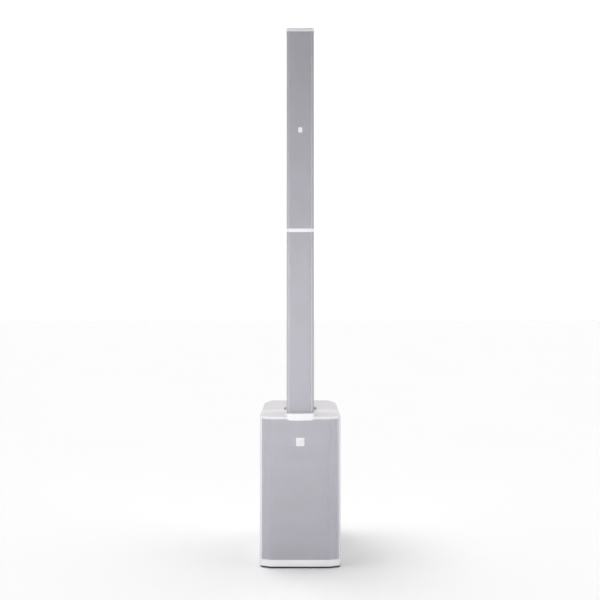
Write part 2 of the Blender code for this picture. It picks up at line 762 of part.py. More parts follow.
def make_column_grille(name, low, high):
    edge = CHANNEL_HALF_WIDTH - GAP
    front = COLUMN_FRONT + 0.0004
    path = [(-edge, front + 0.006), (-edge, front), (edge, front), (edge, front + 0.006)]
    folded_sheet(name, path, low + GAP, high - GAP, GRILLE_SHEET, "grille_paint")


def make_mid_driver(number, z):
    """A small full-range driver: frame, surround, cone and magnet, bonded into one unit."""
    profile = [
        (0, -0.0060),
        (0.0110, -0.0095),
        (0.0320, 0.0026),
        (0.0352, 0.0046),
        (0.0382, 0.0028),
        (0.0415, 0.0028),
        (0.0415, GAP),
        (0.0367, GAP),
        (0.0367, -0.0060),
        (0.0240, -0.0200),
        (0.0300, -0.0204),
        (0.0300, -0.0380),
        (0, -0.0380),
    ]
    turned(f"mid_driver_{number}", profile, "paper_cone", (0, WEB_FRONT, z), FRONT, steps=16)


def spigot_block(low, high):
    return socket_block(0, low, high, SPIGOT_HALF)


def make_lower_column():
    low = COLLAR_TOP + GAP
    high = LOWER_TOP - BAND_HALF
    housing = make_housing("lower_housing", low, high)
    for number, z in enumerate(MID_HEIGHTS_LOWER, start=1):
        web_hole(housing, MID_CUTOUT, z)
        make_mid_driver(number, z)
    make_column_grille("lower_grille", low, high)
    inner = rounded(column_cavity(GAP))
    foot = piece("lower_foot_cap", prism(inner, low, low + 0.006), "black_plastic")
    join(foot, spigot_block(COLLAR_TOP - SPIGOT_LENGTH, low + 0.003))
    band_low, band_high = high + GAP, LOWER_TOP - GAP / 2
    head = piece("lower_head_cap", prism(rounded(column_outline()), band_low, band_high), "white_plastic")
    join(head, socket_block(0, LOWER_TOP - SPIGOT_LENGTH - 0.009, band_low + 0.002))
    half_hole = tuple(side + SOCKET_CLEARANCE for side in SPIGOT_HALF)
    cut(head, socket_block(0, LOWER_TOP - SPIGOT_LENGTH - 0.004, LOWER_TOP + NUDGE, half_hole))


def make_waveguide():
    """The horn plate in front of the two tweeters."""
    rear, front = WEB_FRONT - GAP, WEB_FRONT - 0.0075
    plate = box((-0.0415, front, UPPER_MIDDLE - 0.094), (0.0415, rear, UPPER_MIDDLE + 0.094))
    waveguide = piece("waveguide", plate, "black_plastic")
    for offset in (-TWEETER_OFFSET, TWEETER_OFFSET):
        z = UPPER_MIDDLE + offset
        mouth, throat = (0, front - 0.0010, z), (0, rear + 0.0020, z)
        cut(waveguide, rod(0.0350, mouth, throat, end_radius=THROAT_RADIUS))


def make_tweeter(name, z):
    profile = [
        (0, -0.0020),
        (0.0100, -0.0026),
        (0.0125, -0.0010),
        (0.0140, -0.0010),
        (0.0140, -0.0034),
        (0.0250, -0.0034),
        (0.0250, -0.0260),
        (0, -0.0260),
    ]
    turned(name, profile, "ferrite", (0, WEB_FRONT, z), FRONT, steps=20)


def make_upper_column():
    band_low, band_high = LOWER_TOP + GAP / 2, LOWER_TOP + BAND_HALF
    foot = piece("upper_foot_cap", prism(rounded(column_outline()), band_low, band_high), "white_plastic")
    join(foot, spigot_block(LOWER_TOP - SPIGOT_LENGTH, band_low + 0.002))
    low, high = band_high + GAP, UPPER_TOP - TOP_CAP_THICKNESS
    housing = make_housing("upper_housing", low, high)
    for number, offset in enumerate(MID_OFFSETS_UPPER, start=len(MID_HEIGHTS_LOWER) + 1):
        web_hole(housing, MID_CUTOUT, UPPER_MIDDLE + offset)
        make_mid_driver(number, UPPER_MIDDLE + offset)
    for name, offset in (("tweeter_lower", -TWEETER_OFFSET), ("tweeter_upper", TWEETER_OFFSET)):
        web_hole(housing, 0.0145, UPPER_MIDDLE + offset)
        make_tweeter(name, UPPER_MIDDLE + offset)
    make_waveguide()
    make_column_grille("upper_grille", low, high)
    top = prism(rounded(column_outline(-0.001)), high + GAP, UPPER_TOP)
    cap = piece("upper_top_cap", top, "white_plastic")
    bevel(cap, 0.0015)
    join(cap, box((-0.040, -0.160, high - 0.012), (0.040, -0.100, high + 0.004)))
    front = COLUMN_FRONT + 0.0001
    badge = rounded(rectangle((0, UPPER_MIDDLE), (0.0075, 0.0093), 0.0015), 2)
    piece("column_badge", prism(badge, front - 0.0016, front, "XZ"), "badge")


def build():
    make_cabinet()
    make_underside()
    make_top_cap()
    make_dock()
    make_handle()
    make_sub_grille()
    make_baffle()
    for which in WOOFER_HEIGHTS:
        make_woofer(which)
    make_ports()
    make_rear_panel()
    make_display()
    make_channel_knobs()
    make_menu_encoder()
    make_pairing_button()
    make_jacks()
    make_mains_inlet()
    make_power_rocker()
    make_heat_sink()
    make_amplifier_board()
    make_lower_column()
    make_upper_column()


clear_scene()
PARTS = new_collection("column_pa_system")
TOOLS = new_collection("cutters")
build()
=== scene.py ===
"""Looks of the column PA system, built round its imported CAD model.

Every place and size here comes from the CAD nodes' boxes or from a few driving values in metres.
+Z is up and the front faces -Y.
"""

import math

import bmesh
import bpy
import numpy as np
from mathutils import Matrix, Vector, noise


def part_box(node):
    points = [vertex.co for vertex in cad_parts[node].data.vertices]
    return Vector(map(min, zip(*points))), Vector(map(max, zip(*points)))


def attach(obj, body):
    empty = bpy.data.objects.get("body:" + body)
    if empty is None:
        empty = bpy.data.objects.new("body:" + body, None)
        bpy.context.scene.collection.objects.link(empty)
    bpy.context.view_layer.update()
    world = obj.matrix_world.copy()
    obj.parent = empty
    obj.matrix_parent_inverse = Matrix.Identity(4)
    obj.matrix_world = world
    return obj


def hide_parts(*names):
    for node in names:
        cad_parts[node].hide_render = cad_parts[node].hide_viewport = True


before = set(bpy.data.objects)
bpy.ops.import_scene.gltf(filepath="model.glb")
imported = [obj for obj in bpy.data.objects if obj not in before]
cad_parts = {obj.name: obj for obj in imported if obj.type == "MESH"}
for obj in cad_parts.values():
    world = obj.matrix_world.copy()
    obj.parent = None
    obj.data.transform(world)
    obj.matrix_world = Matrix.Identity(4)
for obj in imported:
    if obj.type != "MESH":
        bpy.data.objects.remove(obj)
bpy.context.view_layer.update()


def span(node):
    """A CAD node's lowest and highest corners."""
    low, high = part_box(node)
    return Vector(low), Vector(high)


def middle(node):
    low, high = span(node)
    return (low + high) / 2


def half_size(node):
    """Half of a CAD node's width and height."""
    low, high = span(node)
    return (high.x - low.x) / 2, (high.z - low.z) / 2


# ---- driving values
GAP = 0.0003  # clearance between pieces that touch
CLEARANCE = 0.0004  # round a plug in its hole
ARC = 10  # straight steps in a rounded corner
NUDGE = 0.02  # how far a cutter runs past the face that it opens
HALF_WIDTH = span("cabinet")[1].x
REAR_Y = span("cabinet")[1].y
FRONT_Y = span("base_plinth")[0].y
CAP_TOP = span("top_cap")[1].z
FRONT_HALF = 0.108  # half width of the flat middle of the base unit's front
FACET_DEPTH = 0.012  # how far the facets beside it fall back
WALL = 0.009  # cabinet boards
SHEET = 0.0012  # the grilles' sheet steel
END_MARGIN = 0.0006  # plain strip above and below their holes
SUB_PITCH, SUB_HOLE = 0.0041, 0.00293
COLUMN_PITCH, COLUMN_HOLE = 0.0037, 0.00265
POCKET_FRONT, POCKET_REAR, POCKET_HALF = -0.074, 0.022, 0.064
CAP_REAR_DROP = 0.0025  # the cap's rear part is this much lower than its front part
CAP_STEP_Y = -0.050  # where the lower part begins
PANEL_Y = span("heat_sink")[0].y - GAP
PANEL_RIM, PANEL_SIDE = 0.0075, 0.0025  # the control panel's flat rim, and its side walls
PRINT = 0.00006  # how far print stands up
FLANGE_TOP = 0.0023  # how far the sockets' flanges stand up
COLUMN_Y = (span("lower_housing")[0].y, span("lower_housing")[1].y)
COLUMN_HALF = span("lower_housing")[1].x
COLUMN_WALL = 0.003
WEB_FRONT, CHANNEL_HALF = -0.173, 0.0435  # the wall behind the column's grille, and half its width
SPIGOT_Y = middle("dock_connector").y
SPIGOT_HALF = (0.030, 0.018)
DRIVER_HOLES = {f"mid_driver_{n}": 0.0372 for n in range(1, 9)}
DRIVER_HOLES.update(tweeter_lower=0.0145, tweeter_upper=0.0145)

# how a piece made flat in its own XY plane, facing +Z, is turned to face the rear or the front
TO_REAR = Matrix(((-1, 0, 0, 0), (0, 0, 1, 0), (0, 1, 0, 0), (0, 0, 0, 1)))
TO_FRONT = Matrix(((1, 0, 0, 0), (0, 0, -1, 0), (0, 1, 0, 0), (0, 0, 0, 1)))


def shift(x, y, z):
    return Matrix.Translation((x, y, z))


def on_panel(x, z, lift=0.0):
    """Places a piece that faces the rear on the control panel's floor."""
    return shift(x, PANEL_Y + lift, z) @ TO_REAR


def on_node(node, lift=0.0):
    """The same, in line with a CAD node."""
    return on_panel(middle(node).x, middle(node).z, lift)


# ---- materials
def shader_of(name, colour, roughness, metallic=0.0):
    made = bpy.data.materials.new(name)
    made.use_nodes = True
    shader = made.node_tree.nodes["Principled BSDF"]
    shader.inputs["Base Color"].default_value = (*colour, 1.0)
    shader.inputs["Roughness"].default_value = roughness
    shader.inputs["Metallic"].default_value = metallic
    return made, made.node_tree, shader


def new_node(tree, kind, where=None, **inputs):
    """A shader node with some inputs set, read at the coordinates given."""
    node = tree.nodes.new(f"ShaderNode{kind}")
    for name, value in inputs.items():
        node.inputs[name.replace("_", " ")].default_value = value
    if where:
        tree.links.new(where, node.inputs["Vector"])
    return node


def coordinates(tree, stretch=(1, 1, 1)):
    """Object coordinates in metres, stretched for grain that runs one way."""
    source = new_node(tree, "TexCoord").outputs["Object"]
    return new_node(tree, "Mapping", source, Scale=stretch).outputs["Vector"]


def noise_value(tree, where, scale, detail=2.0, roughness=0.5):
    return new_node(tree, "TexNoise", where, Scale=scale, Detail=detail, Roughness=roughness).outputs["Fac"]


def add_bump(tree, shader, height, depth, before=None):
    """Relief of a depth in metres, on top of an earlier relief if there is one."""
    bump = new_node(tree, "Bump", Distance=depth)
    tree.links.new(height, bump.inputs["Height"])
    if before:
        tree.links.new(before, bump.inputs["Normal"])
    tree.links.new(bump.outputs["Normal"], shader.inputs["Normal"])
    return bump.outputs["Normal"]


def add_range(tree, value, low, high, socket, from_low=0.3, from_high=0.7):
    """Lets a value between from_low and from_high run a socket from low to high."""
    mapped = new_node(tree, "MapRange", From_Min=from_low, From_Max=from_high, To_Min=low, To_Max=high)
    tree.links.new(value, mapped.inputs["Value"])
    tree.links.new(mapped.outputs["Result"], socket)


def add_colours(tree, value, stops, socket):
    """Colours along a value, as (position, colour) stops."""
    ramp = tree.nodes.new("ShaderNodeValToRGB")
    elements = ramp.color_ramp.elements
    while len(elements) < len(stops):
        elements.new(0.5)
    for element, (position, colour) in zip(elements, stops):
        element.position = position
        element.color = (*colour, 1.0)
    tree.links.new(value, ramp.inputs["Fac"])
    tree.links.new(ramp.outputs["Color"], socket)


def shaded(colour, factor):
    return tuple(min(channel * factor, 1.0) for channel in colour)


def surface(name, colour, roughness, grain, depth, mottle=0.03, metallic=0.0, stretch=(1, 1, 1), **fixed):
    """A finish with fine relief of a grain in metres, and slow changes of tone and gloss."""
    made, tree, shader = shader_of(name, colour, roughness, metallic)
    where = coordinates(tree, stretch)
    stops = [(0.3, shaded(colour, 1 - mottle)), (0.7, shaded(colour, 1 + mottle))]
    add_colours(tree, noise_value(tree, where, 9.0, 4.0), stops, shader.inputs["Base Color"])
    patches = noise_value(tree, where, 45.0, 3.0)
    add_range(tree, patches, roughness - 0.05, roughness + 0.05, shader.inputs["Roughness"])
    add_bump(tree, shader, noise_value(tree, where, 1.0 / grain, 3.0, 0.6), depth)
    for socket, value in fixed.items():
        shader.inputs[socket.replace("_", " ")].default_value = value
    return made


def textured_paint(name, colour, roughness, grain, depth):
    """Sprayed structure paint: rounded grains, slow changes of tone, and gloss that changes in streaks
    running up and down.
    """
    made, tree, shader = shader_of(name, colour, roughness)
    where = coordinates(tree)
    grains = new_node(tree, "TexVoronoi", where, Scale=1.0 / grain)
    grains.feature = "SMOOTH_F1"
    normal = add_bump(tree, shader, grains.outputs["Distance"], depth)
    add_bump(tree, shader, noise_value(tree, where, 0.4 / grain, 4.0, 0.6), depth, normal)
    stops = [(0.32, shaded(colour, 0.965)), (0.5, colour), (0.72, shaded(colour, 1.02))]
    add_colours(tree, noise_value(tree, where, 7.0, 5.0, 0.6), stops, shader.inputs["Base Color"])
    scuffs = noise_value(tree, coordinates(tree, (1, 1, 0.2)), 60.0, 4.0, 0.7)
    add_range(tree, scuffs, roughness - 0.08, roughness + 0.06, shader.inputs["Roughness"])
    return made


def cloth(name, colour, thread):
    """Plain weave: two crossed waves, one thread wide, with painted shade between the threads and painted
    highlight on them.
    """
    made, tree, shader = shader_of(name, colour, 0.95)
    where = coordinates(tree)
    weave = new_node(tree, "Math")
    weave.operation = "MAXIMUM"
    for i, direction in enumerate("XZ"):
        wave = new_node(tree, "TexWave", where, Scale=0.314 / thread, Distortion=0.6)
        wave.bands_direction = direction
        tree.links.new(wave.outputs["Fac"], weave.inputs[i])
    add_bump(tree, shader, weave.outputs["Value"], thread / 3)
    # painted shade in the gaps and painted highlight on the threads: the colour follows the weave's height
    stops = [(0.2, shaded(colour, 0.5)), (0.9, shaded(colour, 1.3))]
    add_colours(tree, weave.outputs["Value"], stops, shader.inputs["Base Color"])
    shader.inputs["Sheen Weight"].default_value = 0.3
    return made


def open_foam(name, colour, cell):
    """Open-cell foam: pores painted dark as shade, between ribs painted paler as highlight."""
    made, tree, shader = shader_of(name, colour, 0.97)
    pores = new_node(tree, "TexVoronoi", coordinates(tree), Scale=1.0 / cell)
    pores.feature = "DISTANCE_TO_EDGE"
    # painted shade in the pores and painted highlight on the ribs, by distance to the cell edges
    stops = [(0.02, shaded(colour, 1.6)), (0.25, shaded(colour, 0.3))]
    add_colours(tree, pores.outputs["Distance"], stops, shader.inputs["Base Color"])
    invert = new_node(tree, "Invert")
    tree.links.new(pores.outputs["Distance"], invert.inputs["Color"])
    add_bump(tree, shader, invert.outputs["Color"], cell / 2)
    return made


def glowing(name, colour, strength):
    made, tree, shader = shader_of(name, shaded(colour, 0.6), 0.3)
    shader.inputs["Emission Color"].default_value = (*colour, 1.0)
    shader.inputs["Emission Strength"].default_value = strength
    flicker = noise_value(tree, coordinates(tree), 800.0)
    add_range(tree, flicker, 0.25, 0.35, shader.inputs["Roughness"])
    return made


def solder_mask(name):
    """Green board with paler copper tracks under the lacquer."""
    made, tree, shader = shader_of(name, (0.02, 0.16, 0.07), 0.35)
    tracks = new_node(
        tree,
        "TexBrick",
        coordinates(tree, (1, 0, 1)),
        Scale=90.0,
        Mortar_Size=0.06,
        Color1=(0.015, 0.13, 0.055, 1),
        Color2=(0.02, 0.17, 0.07, 1),
        Mortar=(0.06, 0.30, 0.13, 1),
    )
    tree.links.new(tracks.outputs["Color"], shader.inputs["Base Color"])
    add_bump(tree, shader, tracks.outputs["Fac"], 0.00005)
    return made


# name, colour, roughness, grain and relief in metres, how mottled, how metallic, and other settings
SURFACES = {
    "trim_white": ("moulded_white", (0.88, 0.86, 0.89), 0.42, 0.0005, 0.00003, 0.015),
    "cap_white": ("cap_satin", (0.72, 0.705, 0.73), 0.5, 0.0005, 0.00003, 0.015),
    # painted shade: a darker copy of the cap's white, for the cap's rear part behind the step
    "cap_rear_painted_shade": ("cap_satin_painted_shade", (0.61, 0.595, 0.62), 0.5, 0.0005, 0.00003, 0.015),
    "grille": ("grille_powder_coat", (0.79, 0.765, 0.85), 0.46, 0.0009, 0.00003, 0.02),
    "collar_white": ("collar_satin", (0.73, 0.72, 0.74), 0.42, 0.0005, 0.00003, 0.015),
    "badge_plate": ("badge_white", (0.70, 0.695, 0.71), 0.30, 0.0004, 0.00001, 0.01),
    "small_badge": ("badge_bright", (0.97, 0.965, 0.98), 0.22, 0.0004, 0.00001, 0.01),
    "badge_field": ("badge_grey", (0.66, 0.66, 0.68), 0.30, 0.0004, 0.00001, 0.02),
    "black_plastic": ("moulded_black", (0.022, 0.022, 0.025), 0.48, 0.0006, 0.00003, 0.15),
    "grip_plastic": ("grip_soft_touch", (0.74, 0.74, 0.75), 0.62, 0.0008, 0.00006, 0.03),
    "knob_plastic": ("knob_black", (0.028, 0.028, 0.031), 0.40, 0.0005, 0.00002, 0.12),
    "shaft_steel": ("turned_steel", (0.56, 0.56, 0.58), 0.28, 0.0003, 0.00001, 0.03, 1.0),
    "screw_black": ("blacked_steel", (0.045, 0.045, 0.05), 0.36, 0.0004, 0.00002, 0.2, 0.9),
    "screw_zinc": ("zinc_plated_steel", (0.60, 0.60, 0.62), 0.32, 0.0004, 0.00001, 0.05, 1.0),
    "contact_gold": ("gold_plating", (0.83, 0.62, 0.26), 0.25, 0.0004, 0.00001, 0.04, 1.0),
    "foot_rubber": ("rubber_black", (0.018, 0.018, 0.018), 0.82, 0.0009, 0.00008, 0.15),
    "surround_rubber": ("surround_butyl", (0.02, 0.02, 0.021), 0.62, 0.0012, 0.00003, 0.12),
    "baffle_board": ("stained_board", (0.03, 0.03, 0.031), 0.80, 0.0016, 0.00015, 0.25),
    "driver_frame": ("stove_enamel", (0.03, 0.03, 0.033), 0.42, 0.0008, 0.00004, 0.12, 0.3),
    "magnet": ("ferrite_grey", (0.07, 0.07, 0.075), 0.65, 0.0010, 0.00006, 0.2, 0.2),
    "tweeter": ("anodised_dome", (0.09, 0.09, 0.10), 0.35, 0.0006, 0.00002, 0.1, 0.8),
    "cone_paper": ("coated_pulp", (0.028, 0.028, 0.028), 0.88, 0.0022, 0.00018, 0.3),
    "mid_driver": ("driver_black", (0.03, 0.03, 0.03), 0.75, 0.0012, 0.00008, 0.2),
    "heat_sink": ("anodised_black", (0.03, 0.03, 0.032), 0.38, 0.0004, 0.00003, 0.03, 0.7),
    "display_glass": ("display_cover", (0.006, 0.007, 0.010), 0.08, 0.004, 0.000004, 0.1),
    "ink": ("printed_white", (0.75, 0.75, 0.77), 0.60, 0.0004, 0.00001, 0.05),
}
SPECIAL = {
    "cap_white": {"Specular_IOR_Level": 0.2},
    "cap_rear_painted_shade": {"Specular_IOR_Level": 0.2},
    "badge_plate": {"Coat_Weight": 0.2},
    "small_badge": {"Coat_Weight": 0.6},
    "shaft_steel": {"stretch": (1, 8, 1)},
    "heat_sink": {"stretch": (1, 1, 0.04)},
    "display_glass": {"Coat_Weight": 1.0},
}
FINISHES = {key: surface(*values, **SPECIAL.get(key, {})) for key, values in SURFACES.items()}
FINISHES.update(
    cabinet_white=textured_paint("cabinet_paint", (0.76, 0.745, 0.77), 0.55, 0.0011, 0.00010),
    column_white=textured_paint("column_paint", (0.45, 0.45, 0.45), 0.48, 0.0007, 0.00005),
    panel_metal=textured_paint("panel_powder_coat", (0.035, 0.035, 0.038), 0.50, 0.0008, 0.00006),
    grille_foam=open_foam("acoustic_foam", (0.030, 0.030, 0.032), 0.0016),
    cloth=cloth("acoustic_cloth", (0.022, 0.022, 0.024), 0.0005),
    circuit_board=solder_mask("solder_mask"),
    screen=glowing("screen_light", (0.35, 0.75, 1.0), 2.5),
    led_green=glowing("led_green", (0.10, 1.0, 0.25), 3.0),
    led_blue=glowing("led_blue", (0.15, 0.35, 1.0), 3.0),
)


# ---- outlines
def corner(before, here, after, radius, steps):
    """The arc that rounds one corner of an outline that turns left."""
    before, here, after = Vector(before), Vector(here), Vector(after)
    if radius <= 0:
        return [here]
    back, ahead = (before - here).normalized(), (after - here).normalized()
    half_angle = back.angle(ahead) / 2
    centre = here + (back + ahead).normalized() * radius / math.sin(half_angle)
    arm = here + back * radius / math.tan(half_angle) - centre
    sweep = math.pi - 2 * half_angle
    return [centre + Matrix.Rotation(sweep * step / steps, 2) @ arm for step in range(steps + 1)]


def rounded(corners, steps=ARC):
    """A closed, left-turning outline from its (x, y, radius) corners."""
    points = []
    for i, (x, y, radius) in enumerate(corners):
        after = corners[(i + 1) % len(corners)]
        points += corner(corners[i - 1][:2], (x, y), after[:2], radius, steps)
    return points


def eased(path, radius, steps=4):
    """An open, left-turning path with its bends rounded."""
    points = [Vector(path[0])]
    for before, here, after in zip(path, path[1:], path[2:]):
        points += corner(before, here, after, radius, steps)
    return points + [Vector(path[-1])]


def mirrored(right_side):
    return right_side + [(-x, y, radius) for x, y, radius in reversed(right_side)]


def inset(corners, amount):
    result = []
    for i, (x, y, radius) in enumerate(corners):
        here = Vector((x, y))
        inward_in = (here - Vector(corners[i - 1][:2])).normalized().orthogonal()
        inward_out = (Vector(corners[(i + 1) % len(corners)][:2]) - here).normalized().orthogonal()
        move = (inward_in + inward_out) * (amount / (1 + inward_in.dot(inward_out)))
        result.append((x + move.x, y + move.y, max(radius - amount, 0.0)))
    return result


def rectangle(half_u, half_v, radius, at=(0.0, 0.0)):
    turns = ((-1, -1), (1, -1), (1, 1), (-1, 1))
    return [(at[0] + i * half_u, at[1] + j * half_v, radius) for i, j in turns]


def base_outline(amount=0.0):
    front = [(FRONT_HALF, FRONT_Y, 0.014), (HALF_WIDTH, FRONT_Y + FACET_DEPTH, 0.014)]
    return inset(mirrored([*front, (HALF_WIDTH, 0.140, 0.045), (0.122, REAR_Y, 0.015)]), amount)


# ---- meshes
def finished(bm):
    mesh = bpy.data.meshes.new("shape")
    bm.to_mesh(mesh)
    bm.free()
    return mesh


def prism(points, low, high, fillet_top=0.0, fillet_bottom=0.0, segments=4):
    """A flat outline raised from low to high along Z, with rounded upper and lower edges."""
    bm = bmesh.new()
    floor = bm.faces.new([bm.verts.new((x, y, low)) for x, y in points])
    raised = bmesh.ops.extrude_face_region(bm, geom=[floor])["geom"]
    top_verts = [element for element in raised if isinstance(element, bmesh.types.BMVert)]
    bmesh.ops.translate(bm, vec=(0, 0, high - low), verts=top_verts)
    bmesh.ops.recalc_face_normals(bm, faces=bm.faces)
    for level, fillet in ((high, fillet_top), (low, fillet_bottom)):
        if fillet:
            rim = [e for e in bm.edges if all(abs(v.co.z - level) < 1e-7 for v in e.verts)]
            bmesh.ops.bevel(bm, geom=rim, offset=fillet, segments=segments, profile=0.5, affect="EDGES")
    return finished(bm)


def plate(half_u, half_v, radius, low, high, at=(0.0, 0.0), steps=ARC, **fillets):
    """A prism on a rectangle with round corners."""
    return prism(rounded(rectangle(half_u, half_v, radius, at), steps), low, high, **fillets)


def column_slice(low, high, grow=0.0, **fillets):
    """A prism on the column's own plan."""
    corners = mirrored([(COLUMN_HALF, COLUMN_Y[0], 0.010), (COLUMN_HALF, COLUMN_Y[1], 0.022)])
    return prism(rounded(inset(corners, -grow), 14), low, high, **fillets)


def block(low, high):
    low, high = Vector(low), Vector(high)
    bm = bmesh.new()
    bmesh.ops.create_cube(bm, size=1.0)
    bmesh.ops.scale(bm, vec=high - low, verts=bm.verts)
    bmesh.ops.translate(bm, vec=(high + low) / 2, verts=bm.verts)
    return finished(bm)


def around(node, margin, low, high):
    """A block with a margin round a CAD node's plan, between two heights."""
    near, far = span(node)
    return block((near.x - margin, near.y - margin, low), (far.x + margin, far.y + margin, high))


def skin(rings):
    """A closed mesh over a row of rings of points, with flat ends."""
    bm = bmesh.new()
    rows = [[bm.verts.new(point) for point in ring] for ring in rings]
    for a, b in zip(rows, rows[1:]):
        for i in range(len(a)):
            bm.faces.new((a[i - 1], a[i], b[i], b[i - 1]))
    bm.faces.new(rows[0])
    bm.faces.new(rows[-1])
    bmesh.ops.recalc_face_normals(bm, faces=bm.faces)
    return finished(bm)


def lathe(profile, steps=48):
    """A solid turned about Z from (radius, height) points, listed from the top down."""
    bm = bmesh.new()
    rings = []
    for radius, height in profile:
        angles = [2 * math.pi * i / steps for i in range(steps if radius > 0 else 1)]
        rings.append([bm.verts.new((radius * math.cos(a), radius * math.sin(a), height)) for a in angles])
    closing = [(rings[-1], rings[0])] if len(rings[0]) > 1 else []
    for upper, lower in [*zip(rings, rings[1:]), *closing]:
        for i in range(steps):
            here, after = (upper[i % len(upper)], lower[i % len(lower)]), i + 1
            corners = (*here, lower[after % len(lower)], upper[after % len(upper)])
            bm.faces.new(list(dict.fromkeys(corners)))
    bmesh.ops.recalc_face_normals(bm, faces=bm.faces)
    return finished(bm)


def disc(radius, low, high, steps):
    return lathe([(0, high), (radius, high), (radius, low), (0, low)], steps)


def moved(mesh, matrix):
    mesh.transform(matrix)
    if matrix.determinant() < 0:
        mesh.flip_normals()
    return mesh


def merged(meshes):
    """Several meshes as one, each left as it is."""
    bm = bmesh.new()
    for mesh in meshes:
        bm.from_mesh(mesh)
    return finished(bm)


def placed(name, data):
    obj = bpy.data.objects.new(name, data)
    bpy.context.scene.collection.objects.link(obj)
    return obj


def evaluated(obj, *helpers):
    """An object's mesh with its modifiers applied, after which it and its helpers are removed."""
    bpy.context.view_layer.update()
    mesh = bpy.data.meshes.new_from_object(obj.evaluated_get(bpy.context.evaluated_depsgraph_get()))
    for each in (obj, *helpers):
        bpy.data.objects.remove(each)
    return mesh


def carve(mesh, cutters=(), joins=()):
    """A mesh with others joined to it and then others cut from it."""
    base, helpers = placed("helper", mesh), []
    for operation, shapes in (("UNION", joins), ("DIFFERENCE", cutters)):
        for shape in shapes:
            helpers.append(placed("helper", shape))
            modifier = base.modifiers.new("carve", "BOOLEAN")
            modifier.operation = operation
            modifier.object = helpers[-1]
    return evaluated(base, *helpers)


def lettering(text, size, at, lift=0.0):
    """A short text as a thin mesh, standing on its own XY plane."""
    curve = bpy.data.curves.new("print", "FONT")
    curve.body, curve.size = text, size
    curve.align_x = curve.align_y = "CENTER"
    curve.extrude = PRINT
    curve.resolution_u = 3
    return moved(evaluated(placed("print", curve)), shift(*at, lift))


def soften(obj, width, limit):
    """Rounds the edges where an object bends by more than a limit in degrees."""
    if width:
        bevel = obj.modifiers.new("rounded edges", "BEVEL")
        bevel.width, bevel.segments = width, 2
        bevel.limit_method, bevel.angle_limit = "ANGLE", math.radians(limit)
        bevel.harden_normals = True


def show(name, mesh, finish, body="sub_unit", replaces=(), edge=0.0, place=None):
    """A finished piece: its mesh, material, edge rounding, body and what it stands for."""
    if place:
        moved(mesh, place)
    mesh.materials.clear()
    mesh.materials.append(FINISHES[finish])
    mesh.shade_smooth()
    mesh.set_sharp_from_angle(angle=math.radians(32))
    obj = placed(name, mesh)
    soften(obj, edge, 40)
    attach(obj, body)
    if replaces:
        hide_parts(*replaces)
    return obj


def dress(node, finish, edge=0.0):
    """A CAD node that stays, with a finished material and softened edges."""
    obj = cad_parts[node]
    obj.data.materials.clear()
    obj.data.materials.append(FINISHES[finish])
    obj.data.shade_smooth()
    obj.modifiers.new("weld", "WELD").merge_threshold = 1e-5
    soften(obj, edge, 35)


def screws(name, radius, height, places, finish="screw_black", body="sub_unit"):
    """Button-head screws with hexagonal sockets, seated on the XY planes of their places."""
    profile = [(0, height), (radius * 0.45, height), (radius * 0.78, height * 0.82)]
    profile += [(radius * 0.96, height * 0.38), (radius, 0.0), (0, 0.0)]
    angles = [math.radians(60 * i) for i in range(6)]
    socket = [(radius * 0.52 * math.cos(a), radius * 0.52 * math.sin(a)) for a in angles]
    head = carve(lathe(profile, 28), [prism(socket, height * 0.25, height + NUDGE)])
    show(name, merged([moved(head.copy(), place) for place in places]), finish, body)


